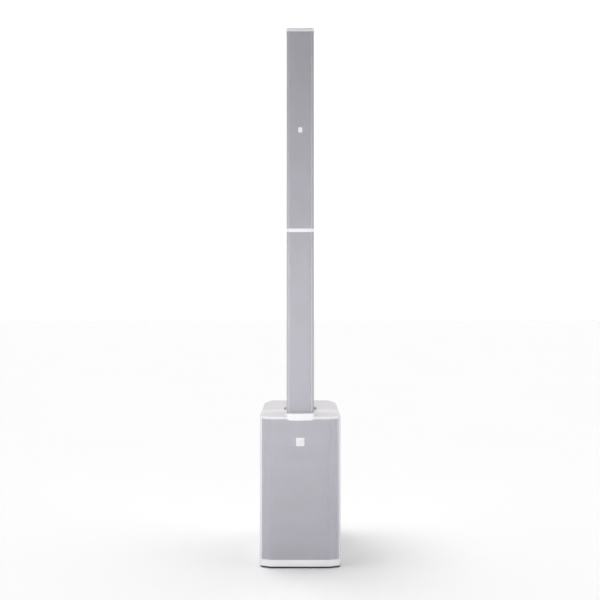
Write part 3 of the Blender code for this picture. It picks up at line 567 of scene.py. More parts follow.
# ---- perforated sheet
def perforated(path, low, high, pitch, hole, side_margin, halved=False):
    """Sheet steel with hexagonal holes that follows a plan path from -X to +X, as one mesh or two halves.

    hole is the width across a hole's flats, and the sheet's thickness lies behind the path.
    """
    points = np.array([tuple(p) for p in path])
    steps = np.diff(points, axis=0)
    lengths = np.linalg.norm(steps, axis=1)
    along = np.concatenate([[0.0], np.cumsum(lengths)])
    left = np.stack([-steps[:, 1], steps[:, 0]], axis=1) / lengths[:, None]
    inward = np.concatenate([left[:1], (left[1:] + left[:-1]) / 2, left[-1:]])
    inward /= np.linalg.norm(inward, axis=1)[:, None]
    first, last = side_margin, along[-1] - side_margin
    bottom, top = low + END_MARGIN, high - END_MARGIN

    def laid(flat, depth):
        u, z = flat[:, 0], flat[:, 1]
        x, y = (np.interp(u, along, points[:, k] + depth * inward[:, k]) for k in (0, 1))
        return np.stack([x, y, z], axis=1)

    # hole corners, six to a hole, pressed back to the perforated area's edge where they pass it
    row_step = pitch * math.sqrt(3) / 2
    columns, rows = int((last - first) / pitch) + 4, int((top - bottom) / row_step) + 4
    start_u = (first + last) / 2 - pitch * (columns - 0.5) / 2
    start_z = (bottom + top) / 2 - row_step * (rows - 1) / 2
    row, column, k = np.meshgrid(np.arange(rows), np.arange(columns), np.arange(6), indexing="ij")
    angle = np.radians(30 + 60 * k)
    reach = hole / math.sqrt(3)
    u = start_u + (column + (row % 2) / 2) * pitch + reach * np.cos(angle)
    z = start_z + row * row_step + reach * np.sin(angle)
    flat = [*zip(np.clip(u, first, last).ravel(), np.clip(z, bottom, top).ravel())]

    # the steel between a hole and those to its right and above it, and the hole's own walls
    faces, walls = [], []
    for r in range(rows - 1):
        for c in range(1, columns - 1):
            here = (r * columns + c) * 6
            right, left_up = here + 6, here + (columns + r % 2 - 1) * 6
            right_up = left_up + 6
            faces += [
                (here + 5, right + 3, right + 2, here),
                (here, right_up + 4, right_up + 3, here + 1),
                (here + 1, left_up + 5, left_up + 4, here + 2),
                (here, right + 2, right_up + 4),
                (here + 1, right_up + 3, left_up + 5),
            ]
            walls += [(here + k, here + (k + 1) % 6) for k in range(6)]

    # plain margins, as strips that follow the bends
    end = along[-1]
    strips = [(0.0, first, low, high), (last, end, low, high)]
    strips += [(first, last, low, bottom), (first, last, top, high)]
    for u_low, u_high, z_low, z_high in strips:
        stops = [u_low, *[s for s in along if u_low + 1e-6 < s < u_high - 1e-6], u_high]
        for u_a, u_b in zip(stops, stops[1:]):
            base = len(flat)
            flat += [(u_a, z_low), (u_b, z_low), (u_b, z_high), (u_a, z_high)]
            faces.append((base, base + 1, base + 2, base + 3))
            sides = (z_low == low, u_b == end, z_high == high, u_a == 0.0)
            walls += [(base + (k + 1) % 4, base + k) for k in range(4) if sides[k]]

    flat, count = np.array(flat), len(flat)
    polygons = []
    for face in faces:
        corners = flat[list(face)]
        rolled = np.roll(corners, -1, axis=0)
        if abs(np.sum(corners[:, 0] * rolled[:, 1] - rolled[:, 0] * corners[:, 1])) > 2e-10:
            polygons += [face, tuple(i + count for i in reversed(face))]
    for a, b in walls:
        if np.abs(flat[a] - flat[b]).sum() > 1e-6:
            polygons.append((a, b, b + count, a + count))

    places = np.round(np.concatenate([laid(flat, 0.0), laid(flat, SHEET)]), 7)
    unique, which = np.unique(places, axis=0, return_inverse=True)
    which = which.ravel()
    halves = [[], []]
    for face in polygons:
        kept = [int(which[i]) for n, i in enumerate(face) if which[i] != which[face[n - 1]]]
        if len(set(kept)) > 2:
            halves[int(halved and unique[kept, 0].mean() > 0)].append(kept)
    meshes = []
    for clean in halves[: 1 + halved]:
        mesh = bpy.data.meshes.new("perforated")
        mesh.from_pydata(unique.tolist(), [], clean)
        mesh.validate()
        bm = bmesh.new()
        bm.from_mesh(mesh)
        bmesh.ops.delete(bm, geom=[v for v in bm.verts if not v.link_faces], context="VERTS")
        meshes.append(finished(bm))
    return meshes


def front_path(depth, edge_x):
    """Plan path, from -X to +X, at a depth behind the base unit's front plane and facets."""
    slope = math.atan2(FACET_DEPTH, HALF_WIDTH - FRONT_HALF)
    corner_x = FRONT_HALF - depth * math.tan(slope / 2)
    corner_y = FRONT_Y + depth
    right = [(corner_x, corner_y), (edge_x, corner_y + (edge_x - corner_x) * math.tan(slope))]
    return [(-x, y) for x, y in reversed(right)] + right


# ---- base unit
def make_cabinet():
    low, high = span("cabinet")[0].z, span("cabinet")[1].z
    rebate, rim = HALF_WIDTH - WALL + CLEARANCE, PANEL_RIM - 0.0005
    panel_low, panel_high = span("rear_panel")
    margin = 0.0035
    pocket = POCKET_HALF + margin
    under, over = high - WALL - NUDGE, high + NUDGE
    cutters = [
        prism(rounded(base_outline(WALL)), low + WALL, high - WALL),
        block((-rebate, FRONT_Y - NUDGE, 0), (rebate, span("front_baffle")[1].y + GAP, over)),
        block(
            (panel_low.x + rim, REAR_Y - WALL - NUDGE, panel_low.z + rim),
            (panel_high.x - rim, REAR_Y + NUDGE, panel_high.z - rim),
        ),
        block((-pocket, POCKET_FRONT - margin, under), (pocket, POCKET_REAR + margin, over)),
        around("dock_connector", 0.0005, under, over),
    ]
    shell = carve(prism(rounded(base_outline()), low, high), cutters)
    show("cabinet_shell", shell, "cabinet_white", replaces=["cabinet"], edge=0.0009)


def make_plinth():
    low, high = span("base_plinth")[0].z, span("base_plinth")[1].z
    skirt = prism(rounded(base_outline()), low, high, fillet_top=0.0008, fillet_bottom=0.0012, segments=3)
    hollow = high - 0.004
    cutters = [
        block((-0.075, -0.185, -NUDGE), (0.075, 0.185, hollow)),
        block((-0.135, -0.115, -NUDGE), (0.135, 0.115, hollow - 0.0005)),
    ]
    show("plinth_skirt", carve(skirt, cutters), "trim_white", replaces=["base_plinth"])


def make_feet_and_plate():
    """Ribbed rubber feet, and the bottom plate with its screws."""
    for node in (f"foot_{end}_{side}" for end in ("front", "rear") for side in ("left", "right")):
        at, radius, tall = middle(node), half_size(node)[0], span(node)[1].z
        profile = [(0, tall), (radius, tall), (radius, 0.0016)]
        profile += [(radius - 0.0012, 0.0004), (radius - 0.0020, 0)]
        for ring in (0.0125, 0.0085, 0.0045):
            profile += [(ring + 0.0012, 0), (ring + 0.0006, 0.0009)]
            profile += [(ring - 0.0006, 0.0009), (ring - 0.0012, 0)]
        foot = lathe(profile + [(0, 0)])
        show(f"rubber_{node}", foot, "foot_rubber", replaces=[node], place=shift(at.x, at.y, 0))
    dress("bottom_plate", "black_plastic", edge=0.0005)
    downward, lift = Matrix.Rotation(math.pi, 4, "X"), span("bottom_plate")[0].z
    places = [shift(x, y, lift) @ downward for x in (-0.085, 0.085) for y in (-0.175, 0.0, 0.175)]
    screws("bottom_plate_screws", 0.0032, 0.0011, places)


def make_cap():
    """The top moulding: a front part, a rear part one step lower and painted darker as shade, the handle
    pocket and dock hole.
    """
    low, pocket_low = span("sub_grille")[1].z + GAP, span("top_cap")[0].z
    rear_top, over, pocket_wall = CAP_TOP - CAP_REAR_DROP, CAP_TOP + NUDGE, 0.003
    front_part = carve(
        prism(rounded(base_outline()), low, CAP_TOP, fillet_top=0.0030),
        [block((-0.2, CAP_STEP_Y, low - NUDGE), (0.2, 0.3, over))],
    )
    rear_part = prism(rounded(base_outline()), low, rear_top, fillet_top=0.0030)
    at, half_y = (0, (POCKET_FRONT + POCKET_REAR) / 2), (POCKET_REAR - POCKET_FRONT) / 2
    outer = (POCKET_HALF + pocket_wall, half_y + pocket_wall)
    tray = plate(*outer, 0.006, pocket_low, rear_top - 0.001, at)
    opening = plate(POCKET_HALF, half_y, 0.007, pocket_low + pocket_wall, over, at)
    dock = around("dock_connector", CLEARANCE, low - NUDGE, over)
    hollow = prism(rounded(base_outline(0.004)), low - NUDGE, CAP_TOP - 0.006)
    shell = carve(carve(front_part, joins=[rear_part]), [hollow])
    shell = carve(shell, [opening, dock], [tray])
    show("top_moulding", shell, "cap_white", "sub_unit", ["top_cap"], edge=0.0006)
    # the rear part gets the darker copy of the white: painted shade behind the step
    shell.materials.append(FINISHES["cap_rear_painted_shade"])
    for face in shell.polygons:
        face.material_index = int(face.center.y > CAP_STEP_Y)


def plug_hole(low, high):
    half_x, half_y = (side + CLEARANCE for side in SPIGOT_HALF)
    return plate(half_x, half_y, 0.0008, low, high, (0, SPIGOT_Y), 3)


def make_collar():
    """The dock collar with its apron, and the contact block in it."""
    low, high = span("dock_collar")
    right = [
        (0.0485, low.y, 0.004),
        (0.059, low.y + 0.014, 0.010),
        (0.059, -0.134, 0.006),
        (0.050, -0.122, 0),
        (0.050, high.y, 0.008),
    ]
    body = prism(rounded(mirrored(right)), CAP_TOP + GAP, high.z, fillet_top=0.0022)
    outline = rounded(mirrored([(0.0465, low.z, 0.007), (0.0485, high.z - 0.004, 0)]))
    face_y = FRONT_Y - GAP
    apron = moved(prism(outline, 0.0, face_y - low.y, fillet_top=0.0010), shift(0, face_y, 0) @ TO_FRONT)
    mesh = carve(body, [plug_hole(low.z - NUDGE, high.z + NUDGE)], [apron])
    show("collar", mesh, "collar_white", "sub_unit", ["dock_collar"], edge=0.0004)
    dress("dock_connector", "black_plastic", edge=0.0004)
    pins = contact_row(CONTACT_PIN, span("lower_foot_cap")[0].z - 0.004)
    show("dock_pins", pins, "contact_gold")


def make_handle():
    """The grip bar, with finger ribs along its underside."""
    low, high = span("carry_handle")
    at = middle("carry_handle")
    half_y, half_z = (high.y - low.y) / 2, (high.z - low.z) / 2
    section = rounded(rectangle(half_y, half_z, 0.0078), 8)
    rings, stations = [], 97
    for i in range(stations):
        t = i / (stations - 1)
        pinch = 0.00045 * (0.5 - 0.5 * math.cos(2 * math.pi * i / 4)) if 0.12 < t < 0.88 else 0.0
        scales = [1 - pinch * max(0.0, -v / half_z) / half_z for u, v in section]
        x = low.x + (high.x - low.x) * t
        rings.append([(x, at.y + u * k, at.z + v * k) for (u, v), k in zip(section, scales)])
    show("grip_bar", skin(rings), "grip_plastic", replaces=["carry_handle"])


def make_sub_front():
    """The perforated grille, the foam behind it and the badge on it."""
    low, high = span("sub_grille")
    front = front_path(GAP, high.x)
    path = eased([(-high.x, high.y), *front, (high.x, high.y)], 0.0035)
    side = high.y - front[-1][1] + 0.0008
    halves = perforated(path, low.z, high.z, SUB_PITCH, SUB_HOLE, side, halved=True)
    for name, mesh in zip(("left", "right"), halves):
        show(f"sub_front_grille_{name}", mesh, "grille", "sub_unit", ["sub_grille"])
    foam_low, foam_high = span("sub_grille_foam")
    path = eased(front_path(SHEET + 2 * GAP, foam_high.x), 0.004)
    foam = soft_strip(path, foam_low.z, foam_high.z, 0.0036)
    show("front_foam", foam, "grille_foam", replaces=["sub_grille_foam"])
    make_badge("sub_badge", "sub_unit", 0.0030, 0.0020, 0.0004, "badge_plate", "badge_field")


def soft_strip(path, low, high, thickness):
    """A soft sheet along a plan path, finely divided and a little uneven on its front."""
    points = []
    for a, b in zip(path, path[1:]):
        count = max(1, round((b - a).length / 0.004))
        points += [a.lerp(b, i / count) for i in range(count)]
    points.append(path[-1])
    last, top = len(points) - 1, round((high - low) / 0.004)
    heights = [low + (high - low) * j / top for j in range(top + 1)]
    rings = []
    for i, point in enumerate(points):
        ahead = (points[min(i + 1, last)] - points[max(i - 1, 0)]).normalized()
        inward = Vector((-ahead.y, ahead.x))
        waves = [noise.noise(Vector((point.x * 90, z * 90, 3.1))) for z in heights]
        front = [(*(point + inward * 0.0003 * (0.5 + 0.5 * w)), z) for w, z in zip(waves, heights)]
        rings.append(front + [(*(point + inward * thickness), z) for z in reversed(heights)])
    return skin(rings)


def make_badge(node, body, radius, rim, dip, finish, field_finish):
    """A plain badge: a rounded plate with a raised rim round a slightly sunk, smooth field."""
    low, high = span(node)
    half_u, half_v = half_size(node)
    depth, centre = high.y - low.y, middle(node)
    place = shift(centre.x, high.y, centre.z) @ TO_FRONT
    recess = plate(half_u - rim, half_v - rim, radius * 0.6, depth - dip, depth + NUDGE)
    rimmed = carve(plate(half_u, half_v, radius, 0.0, depth, fillet_top=depth * 0.2), [recess])
    show(f"{node}_plate", rimmed, finish, body, [node], place=place)
    half = half_u * 0.40
    field = plate(half, half, radius * 0.5, depth * 0.5, depth - dip * 0.4, fillet_top=dip * 0.3)
    show(f"{node}_field", field, field_finish, body, place=place)


# ---- rear panel
def make_panel():
    """The folded tray that carries the controls, with round corners and rim screws."""
    low, high = span("rear_panel")
    half_u, half_v = half_size("rear_panel")
    rim_low, rim_high, inner = REAR_Y + GAP - PANEL_Y, high.y - PANEL_Y, PANEL_RIM + PANEL_SIDE
    place = on_node("rear_panel")

    def spot(node):
        return (place.inverted() @ Vector((middle(node).x, PANEL_Y, middle(node).z))).xy

    flange = plate(half_u, half_v, 0.008, rim_low, rim_high, fillet_top=0.0006)
    tray = plate(half_u - PANEL_RIM, half_v - PANEL_RIM, 0.0058, low.y - PANEL_Y, rim_high - 0.0004)
    cutters = [plate(half_u - inner, half_v - inner, 0.005, 0.0, rim_high + NUDGE)]
    for node, grow in (("display_window", GAP), ("mains_inlet", -0.0020)):
        opening = [half + grow for half in half_size(node)]
        cutters.append(plate(*opening, 0.0008, -NUDGE, NUDGE / 4, spot(node), 3))
    holes = {"menu_shaft": 0.0034, "pairing_button": 0.0050}
    holes.update({f"channel_knob_{n}": 0.0034 for n in CHANNELS}, combo_jack_1=0.0122, combo_jack_2=0.0122)
    for node, radius in holes.items():
        cutters.append(moved(disc(radius, -NUDGE, NUDGE / 4, 32), shift(*spot(node), 0)))
    panel = carve(flange, cutters, [tray])
    show("control_panel", panel, "panel_metal", replaces=["rear_panel"], edge=0.0003, place=place)
    rim_u, rim_v = half_u - PANEL_RIM / 2, half_v - PANEL_RIM / 2
    places = [(u, v) for u in (-0.085, 0.0, 0.085) for v in (-rim_v, rim_v)]
    places += [(u, v) for u in (-rim_u, rim_u) for v in (-0.150, 0.0, 0.150)]
    screws("panel_screws", 0.0030, 0.0012, [place @ shift(u, v, rim_high) for u, v in places])


def make_display():
    """The cover glass, and the lit meters and lines that show through it."""
    low, high = span("display_window")
    place, top = on_node("display_window"), high.y - PANEL_Y
    glass = plate(*half_size("display_window"), 0.0006, low.y - PANEL_Y, top, fillet_top=0.0004)
    show("display_cover", glass, "display_glass", replaces=["display_window"], place=place)

    def lit(u_low, u_high, v_low, v_high):
        return block((u_low, v_low, top), (u_high, v_high, top + 0.00008))

    marks = [lit(0.0225, 0.0265, v, v + 0.0005) for v in (0.0105, -0.0002, -0.0109)]
    marks += [lit(0.0243, 0.0247, -0.0109, 0.0110), lit(-0.0265, 0.0190, 0.0118, 0.0122)]
    for channel, level in zip(CHANNELS, (7, 5, 9, 4)):
        u = -0.0335 + channel * 0.0110
        for v in (-0.0110 + step * 0.0020 for step in range(level)):
            marks.append(lit(u, u + 0.0060, v, v + 0.0012))
        marks.append(lettering(str(channel), 0.0036, (u + 0.003, -0.0140), top + PRINT))
    show("display_marks", merged(marks), "screen", place=place)


def fluted(profile, flutes, depth, z_low, z_high, min_radius, steps=144):
    """A turned knob with shallow flutes pressed into its side."""
    mesh = lathe(profile, steps)
    for v in mesh.vertices:
        radius = v.co.xy.length
        if z_low <= v.co.z <= z_high and radius > min_radius:
            wave = 0.5 - 0.5 * math.cos(flutes * math.atan2(v.co.y, v.co.x))
            pressed = (radius - depth * wave**2) / radius
            v.co.x *= pressed
            v.co.y *= pressed
    return mesh


def millimetres(*points):
    """(radius, height) points given in millimetres, in metres."""
    return [(radius / 1000, height / 1000) for radius, height in points]


KNOB_PROFILE = millimetres(
    (0, 14.6), (5.6, 14.6), (6.2, 15), (7.2, 15.1), (7.9, 14.7), (8.2, 13.8), (8.3, 12), (8.5, 7),
    (8.7, 3.4), (9, 2.6), (9.5, 2), (9.5, 0.6), (3, 0.6), (3, -9), (0, -9),
)
MENU_PROFILE = millimetres(
    (0, 17.2), (9.8, 17.2), (10.2, 17.5), (11.8, 17.5), (13, 16.8), (13.4, 15.8), (13.6, 14), (13.9, 6),
    (14, 3), (13.8, 1.6), (13.2, 1.3), (3.3, 1.3), (3.3, 14.5), (0, 14.5),
)
INSERT_PROFILE = millimetres(
    (0, 17.25), (3, 17.3), (9, 17.4), (9.6, 17.25), (9.6, 17.1), (0, 17.1),
)
BUTTON_PROFILE = millimetres(
    (0, 2.9), (2.2, 3), (3.6, 3.3), (4.3, 3), (4.6, 2.4), (4.6, -3.3), (6.4, -3.3), (6.4, -4.8),
    (4.6, -4.8), (4.6, -8), (0, -8),
)
CHANNELS = (1, 2, 3, 4)


def make_knobs_and_button():
    for number in CHANNELS:
        node = f"channel_knob_{number}"
        place = on_node(node)
        knob = fluted(KNOB_PROFILE, 18, 0.0006, 0.0030, 0.0140, 0.007)
        show(f"level_knob_{number}", knob, "knob_plastic", node, replaces=[node], place=place)
        line = plate(0.0006, 0.0030, 0.0004, 0.0144, 0.0154, (0, 0.0048), 4)
        pointer = merged([line, block((-0.0006, 0.0074, 0.0040), (0.0006, 0.0087, 0.0150))])
        show(f"knob_pointer_{number}", pointer, "ink", node, place=place)

    place = on_node("menu_knob")
    knob = fluted(MENU_PROFILE, 40, 0.00045, 0.0030, 0.0160, 0.0125, steps=200)
    show("encoder_knob", knob, "knob_plastic", "menu_knob", replaces=["menu_knob"], place=place)
    show("encoder_insert", lathe(INSERT_PROFILE, 64), "shaft_steel", "menu_knob", place=place)
    dress("menu_shaft", "shaft_steel")

    node = "pairing_button"
    show("pairing_cap", lathe(BUTTON_PROFILE), "knob_plastic", node, replaces=[node], place=on_node(node))
    light = lathe([(0, 0.0006), (0.0008, 0.0004), (0.0011, 0), (0, 0)], 24)
    show("pairing_light", light, "led_blue", node, place=on_node(node, 0.00285))


def make_jacks():
    """Combined sockets: a plug hole, three contact holes, a release tab and two screws."""
    for number in (1, 2):
        node = f"combo_jack_{number}"
        place = on_node(node)
        flange = plate(*half_size(node), 0.003, GAP, FLANGE_TOP, fillet_top=0.0005)
        barrel = lathe([(0, 0.0030), (0.0113, 0.0030), (0.0118, 0.0025), (0.0118, -0.022), (0, -0.022)], 64)
        ring = lathe([(0.0103, 0.0040), (0.0103, 0.0026), (0.0099, 0.0026), (0.0099, 0.0040)], 64)
        cutters = [ring, disc(0.0034, -0.019, NUDGE, 40)]
        for angle in (math.radians(turn) for turn in (90, 210, 330)):
            at = (0.0068 * math.cos(angle), -0.0068 * math.sin(angle), 0)
            cutters.append(moved(disc(0.0015, -0.012, NUDGE, 24), shift(*at)))
        body = carve(flange, cutters, [barrel])
        show(f"socket_{number}", body, "black_plastic", replaces=[node], place=place)
        tab = plate(0.0026, 0.0014, 0.0006, 0.0020, 0.0030, (0, 0.0134), 4, fillet_top=0.0003)
        show(f"socket_tab_{number}", tab, "screw_zinc", place=place)
        places = [place @ shift(u, v, FLANGE_TOP) for u, v in ((-0.0098, 0.0122), (0.0098, -0.0122))]
        screws(f"socket_screws_{number}", 0.0021, 0.0009, places)


def make_mains():
    """The power module: flange, socket recess with three blades, and the rocker above it."""
    place, rocker_v, socket_v = on_node("mains_inlet"), 0.016, -0.014
    flange = plate(*half_size("mains_inlet"), 0.002, GAP, FLANGE_TOP, fillet_top=0.0005)
    housing = block((-0.0150, -0.0285, -0.026), (0.0150, 0.0285, 0.0010))
    mouth = mirrored([(0.0120, -0.0082, 0.001), (0.0120, 0.0040, 0.001), (0.0078, 0.0082, 0.001)])
    recess = moved(prism(rounded(mouth, 4), -0.016, NUDGE), shift(0, socket_v, 0))
    well = block((-0.0068, rocker_v - 0.0102, -0.010), (0.0068, rocker_v + 0.0102, NUDGE))
    body = carve(flange, [recess, well], [housing])
    show("power_inlet", body, "black_plastic", replaces=["mains_inlet"], place=place)
    spots = [(u, socket_v + v) for u, v in ((-0.0070, -0.0015), (0.0070, -0.0015), (0.0, 0.0025))]
    blades = [plate(0.0010, 0.0020, 0.0003, -0.0165, -0.0030, at, 3, fillet_top=0.0005) for at in spots]
    show("inlet_blades", merged(blades), "screw_zinc", place=place)
    screws("inlet_screws", 0.0016, 0.0008, [place @ shift(u, 0, FLANGE_TOP) for u in (-0.0158, 0.0158)])

    # the rocker's section, as (outward, up), with a slightly hollow face, turned by half its travel
    at, tilt = middle("mains_inlet"), math.radians(7)
    pivot = shift(at.x, PANEL_Y - 0.001, at.z + rocker_v) @ Matrix.Rotation(tilt, 4, "X")
    section = [(0.0030 + 0.0016 * (step / 6) ** 2, 0.0092 * step / 6) for step in range(-6, 7)]
    section += [(-0.0040, 0.0085), (-0.0040, -0.0085)]
    upright = Matrix(((0, 0, 1, 0), (1, 0, 0, 0), (0, 1, 0, 0), (0, 0, 0, 1)))
    node, rocker = "power_rocker", prism(section, -0.0063, 0.0063)
    show("rocker_cap", rocker, "black_plastic", node, replaces=[node], edge=0.0004, place=pivot @ upright)

    def on_rocker(end):
        return pivot @ shift(0, 0.00385, 0.0056 * end) @ Matrix.Rotation(-0.22 * end, 4, "X")

    bar = block((-0.0003, 0.0, -0.0015), (0.0003, 0.00012, 0.0015))
    ring = lathe([(0.0016, 0.00012), (0.0016, 0.0), (0.0012, 0.0), (0.0012, 0.00012)], 32)
    marks = merged([moved(bar, on_rocker(1)), moved(ring, on_rocker(-1) @ TO_REAR)])
    show("rocker_marks", marks, "ink", node)


def make_heat_sink():
    """Ribbed cooling profile with rounded, slightly tapered fins, and four screws."""
    low, high = span("heat_sink")
    half, fins = half_size("heat_sink")[0], 13
    base, tip, pitch = 0.005, high.y - PANEL_Y, 2 * half / fins
    flank = [(0.0021, base), (0.0015, base + 0.0008), (0.0010, tip - 0.0009), (0.0005, tip)]
    comb = [(half, GAP), (half, base)]
    for number in range(fins):
        centre = half - pitch * (number + 0.5)
        comb += [(centre + u, v) for u, v in flank] + [(centre - u, v) for u, v in reversed(flank)]
    profile = prism(comb + [(-half, base), (-half, GAP)], low.z, high.z)
    place = shift(middle("heat_sink").x, PANEL_Y, 0)
    show("cooling_fins", profile, "heat_sink", replaces=["heat_sink"], edge=0.0002, place=place)
    spots = [(u, z) for u in (-pitch * 5.5, pitch * 5.5) for z in (low.z + 0.012, high.z - 0.012)]
    screws("cooling_screws", 0.0024, 0.0016, [on_panel(u, z, base) for u, z in spots], "screw_zinc")


def make_panel_print():
    """Scales round the knobs, channel numbers, a fine frame round each group, and signal lights."""
    marks, lights = [], []

    def fine_frame(at, half_u, below, above, width=0.0004):
        centre, half_v = (-at.x, at.z + (above - below) / 2), (above + below) / 2
        lines = [rounded(rectangle(half_u - w, half_v - w, 0.003 - w, centre), 6) for w in (0.0, width)]
        bm = bmesh.new()
        outer, inner = ([bm.verts.new((x, y, PRINT)) for x, y in line] for line in lines)
        for i in range(len(outer)):
            bm.faces.new((outer[i - 1], outer[i], inner[i], inner[i - 1]))
        marks.append(finished(bm))

    def tick(at, angle, start, end, half_width):
        turn = shift(-at.x, at.z, 0) @ Matrix.Rotation(angle, 4, "Z")
        marks.append(moved(block((start, -half_width, 0), (end, half_width, PRINT)), turn))

    for number in CHANNELS:
        at = middle(f"channel_knob_{number}")
        for step in range(11):
            angle = math.radians(235 - 29 * step)
            tick(at, angle, 0.0116, 0.0130 if step % 5 else 0.0142, 0.0002)
            if step % 5 == 0:
                where = (-at.x + 0.0166 * math.cos(angle), at.z + 0.0166 * math.sin(angle))
                marks.append(lettering(str(step), 0.0038, where))
        marks.append(lettering(str(number), 0.0062, (-at.x, at.z + 0.0245)))
        fine_frame(at, 0.0205, 0.0200, 0.0300)
        dome = lathe([(0, 0.0012), (0.0007, 0.0011), (0.0012, 0.0008), (0.0014, 0), (0, 0)], 24)
        lights.append(moved(dome, on_panel(at.x + 0.0130, at.z + 0.0240)))
    for number in (1, 2):
        at = middle(f"combo_jack_{number}")
        marks.append(lettering(str(number), 0.0062, (-at.x, at.z - 0.0225)))
        fine_frame(at, 0.0190, 0.0270, 0.0200)
    for step in range(24):
        tick(middle("menu_knob"), 2 * math.pi * step / 24, 0.0160, 0.0172, 0.00018)
    show("panel_print", merged(marks), "ink", place=on_panel(0, 0, 0.00002))
    show("signal_lights", merged(lights), "led_green")


# ---- column
def make_housing(node, body):
    low, high = span(node)
    inner = COLUMN_HALF - COLUMN_WALL
    cavity = [(inner, WEB_FRONT + COLUMN_WALL, 0.002), (inner, COLUMN_Y[1] - COLUMN_WALL, 0.019)]
    under, over = low.z - NUDGE, high.z + NUDGE
    cutters = [prism(rounded(mirrored(cavity)), under, over)]
    cutters.append(block((-CHANNEL_HALF, COLUMN_Y[0] - NUDGE, under), (CHANNEL_HALF, WEB_FRONT, over)))
    for driver, radius in DRIVER_HOLES.items():
        z = middle(driver).z
        if low.z < z < high.z:
            place = shift(0, WEB_FRONT + COLUMN_WALL / 2, z) @ TO_FRONT
            cutters.append(moved(disc(radius, -0.01, 0.01, 40), place))
    mesh = carve(column_slice(low.z, high.z), cutters)
    show(f"{node}_extrusion", mesh, "column_white", body, replaces=[node], edge=0.0005)


def make_column_front(section, body):
    """A section's perforated grille, and the acoustic cloth stretched behind it."""
    node = f"{section}_grille"
    low, high = span(node)
    front, edge = low.y, high.x
    path = eased([(-edge, high.y), (-edge, front), (edge, front), (edge, high.y)], 0.0016)
    mesh = perforated(path, low.z, high.z, COLUMN_PITCH, COLUMN_HOLE, high.y - front + 0.0006)[0]
    show(f"{section}_front_grille", mesh, "grille", body, [node])
    width, length = 2 * (edge - SHEET - 0.0008), high.z - low.z - 0.004
    bm = bmesh.new()
    bmesh.ops.create_grid(bm, x_segments=20, y_segments=160, size=0.5)
    bmesh.ops.scale(bm, vec=(width, length, 1), verts=bm.verts)
    place = shift(0, front + SHEET + 0.0004, (low.z + high.z) / 2) @ TO_FRONT
    lining = show(f"{section}_grille_cloth", finished(bm), "cloth", body, place=place)


CONTACT_PIN = [(0, 0.0034), (0.0012, 0.0030), (0.0016, 0.0020), (0.0016, -0.0002), (0, -0.0002)]
CONTACT_PAD = [(0, 0.0), (0.0022, 0.0), (0.0022, -0.0007), (0, -0.0007)]


def contact_row(profile, level):
    """Five contacts side by side on the plug's axis."""
    return merged([moved(lathe(profile, 24), shift(0.009 * n, SPIGOT_Y, level)) for n in range(-2, 3)])


def spigot(low, high):
    return plate(*SPIGOT_HALF, 0.0025, low, high, (0, SPIGOT_Y), 6, fillet_bottom=0.0015, segments=3)


def make_column_caps():
    """The mouldings that close each section, with the plugs below them and the socket on top."""
    lower, upper, wall = "lower_column", "upper_column", COLUMN_WALL + GAP
    foot_low, base = span("lower_foot_cap")[0].z, span("lower_housing")[0].z
    side = COLUMN_HALF - wall
    plan = mirrored([(side, -0.1697, 0.0017), (side, COLUMN_Y[1] - wall, 0.0187)])
    foot = carve(prism(rounded(plan), base, base + 0.006), joins=[spigot(foot_low, base + 0.003)])
    show("lower_foot_moulding", foot, "black_plastic", lower, ["lower_foot_cap"], 0.0004)

    low, high = span("lower_head_cap")
    band_low = span("lower_housing")[1].z + GAP
    band = column_slice(band_low, high.z, fillet_top=0.0006, fillet_bottom=0.0005, segments=2)
    head = carve(band, joins=[plate(0.038, 0.024, 0.002, low.z, band_low + 0.002, (0, SPIGOT_Y))])
    head = carve(head, [plug_hole(low.z + 0.005, high.z + NUDGE)])
    show("lower_head_moulding", head, "trim_white", lower, replaces=["lower_head_cap"])
    pins = contact_row(CONTACT_PIN, low.z + 0.005)
    show("head_socket_pins", pins, "contact_gold", lower)

    low, band_high = span("upper_foot_cap")[0].z, span("upper_foot_cap")[1].z
    band_low = high.z + GAP
    band = column_slice(band_low, band_high, fillet_top=0.0005, fillet_bottom=0.0006, segments=2)
    foot = carve(band, joins=[spigot(low, band_low + 0.002)])
    show("upper_foot_moulding", foot, "trim_white", upper, replaces=["upper_foot_cap"])

    low, high = span("upper_top_cap")
    cap_low = span("upper_housing")[1].z + GAP
    cap = column_slice(cap_low, high.z, 0.001, fillet_top=0.0008, fillet_bottom=0.0006)
    cap = carve(cap, joins=[block((-0.040, -0.160, low.z), (0.040, -0.100, cap_low + 0.002))])
    show("column_top_moulding", cap, "trim_white", upper, replaces=["upper_top_cap"])


def make_section(section):
    """A column section: housing, grille, cloth, the plug's contacts, and screws near both ends."""
    body = f"{section}_column"
    make_housing(f"{section}_housing", body)
    make_column_front(section, body)
    pads = contact_row(CONTACT_PAD, span(f"{section}_foot_cap")[0].z + 0.0002)
    show(f"{section}_plug_contacts", pads, "contact_gold", body)
    low, high = (end.z for end in span(f"{section}_housing"))
    spots = [(x, z) for z in (low + 0.018, high - 0.018) for x in (-0.022, 0.022)]
    places = [shift(x, COLUMN_Y[1], z) @ TO_REAR for x, z in spots]
    screws(f"{section}_rear_screws", 0.0026, 0.0011, places, "screw_zinc", body)


# ---- pieces inside: finish and edge rounding of each CAD node that stays
INSIDE = {
    "woofer_basket": ("driver_frame", 0.0006),
    "woofer_magnet": ("magnet", 0.0008),
    "woofer_surround": ("surround_rubber", 0.0),
    "woofer_cone": ("cone_paper", 0.0),
    "tweeter": ("tweeter", 0.0004),
}


def dress_inside():
    for which in ("lower", "upper"):
        for piece, (finish, edge) in INSIDE.items():
            dress(f"{piece}_{which}", finish, edge)
    for number in range(1, 9):
        dress(f"mid_driver_{number}", "mid_driver", 0.0004)
    for side in ("left", "right"):
        dress(f"reflex_port_{side}", "black_plastic", 0.0008)
    dress("front_baffle", "baffle_board", 0.0006)
    dress("waveguide", "black_plastic", 0.0006)
    dress("amplifier_board", "circuit_board", 0.0006)


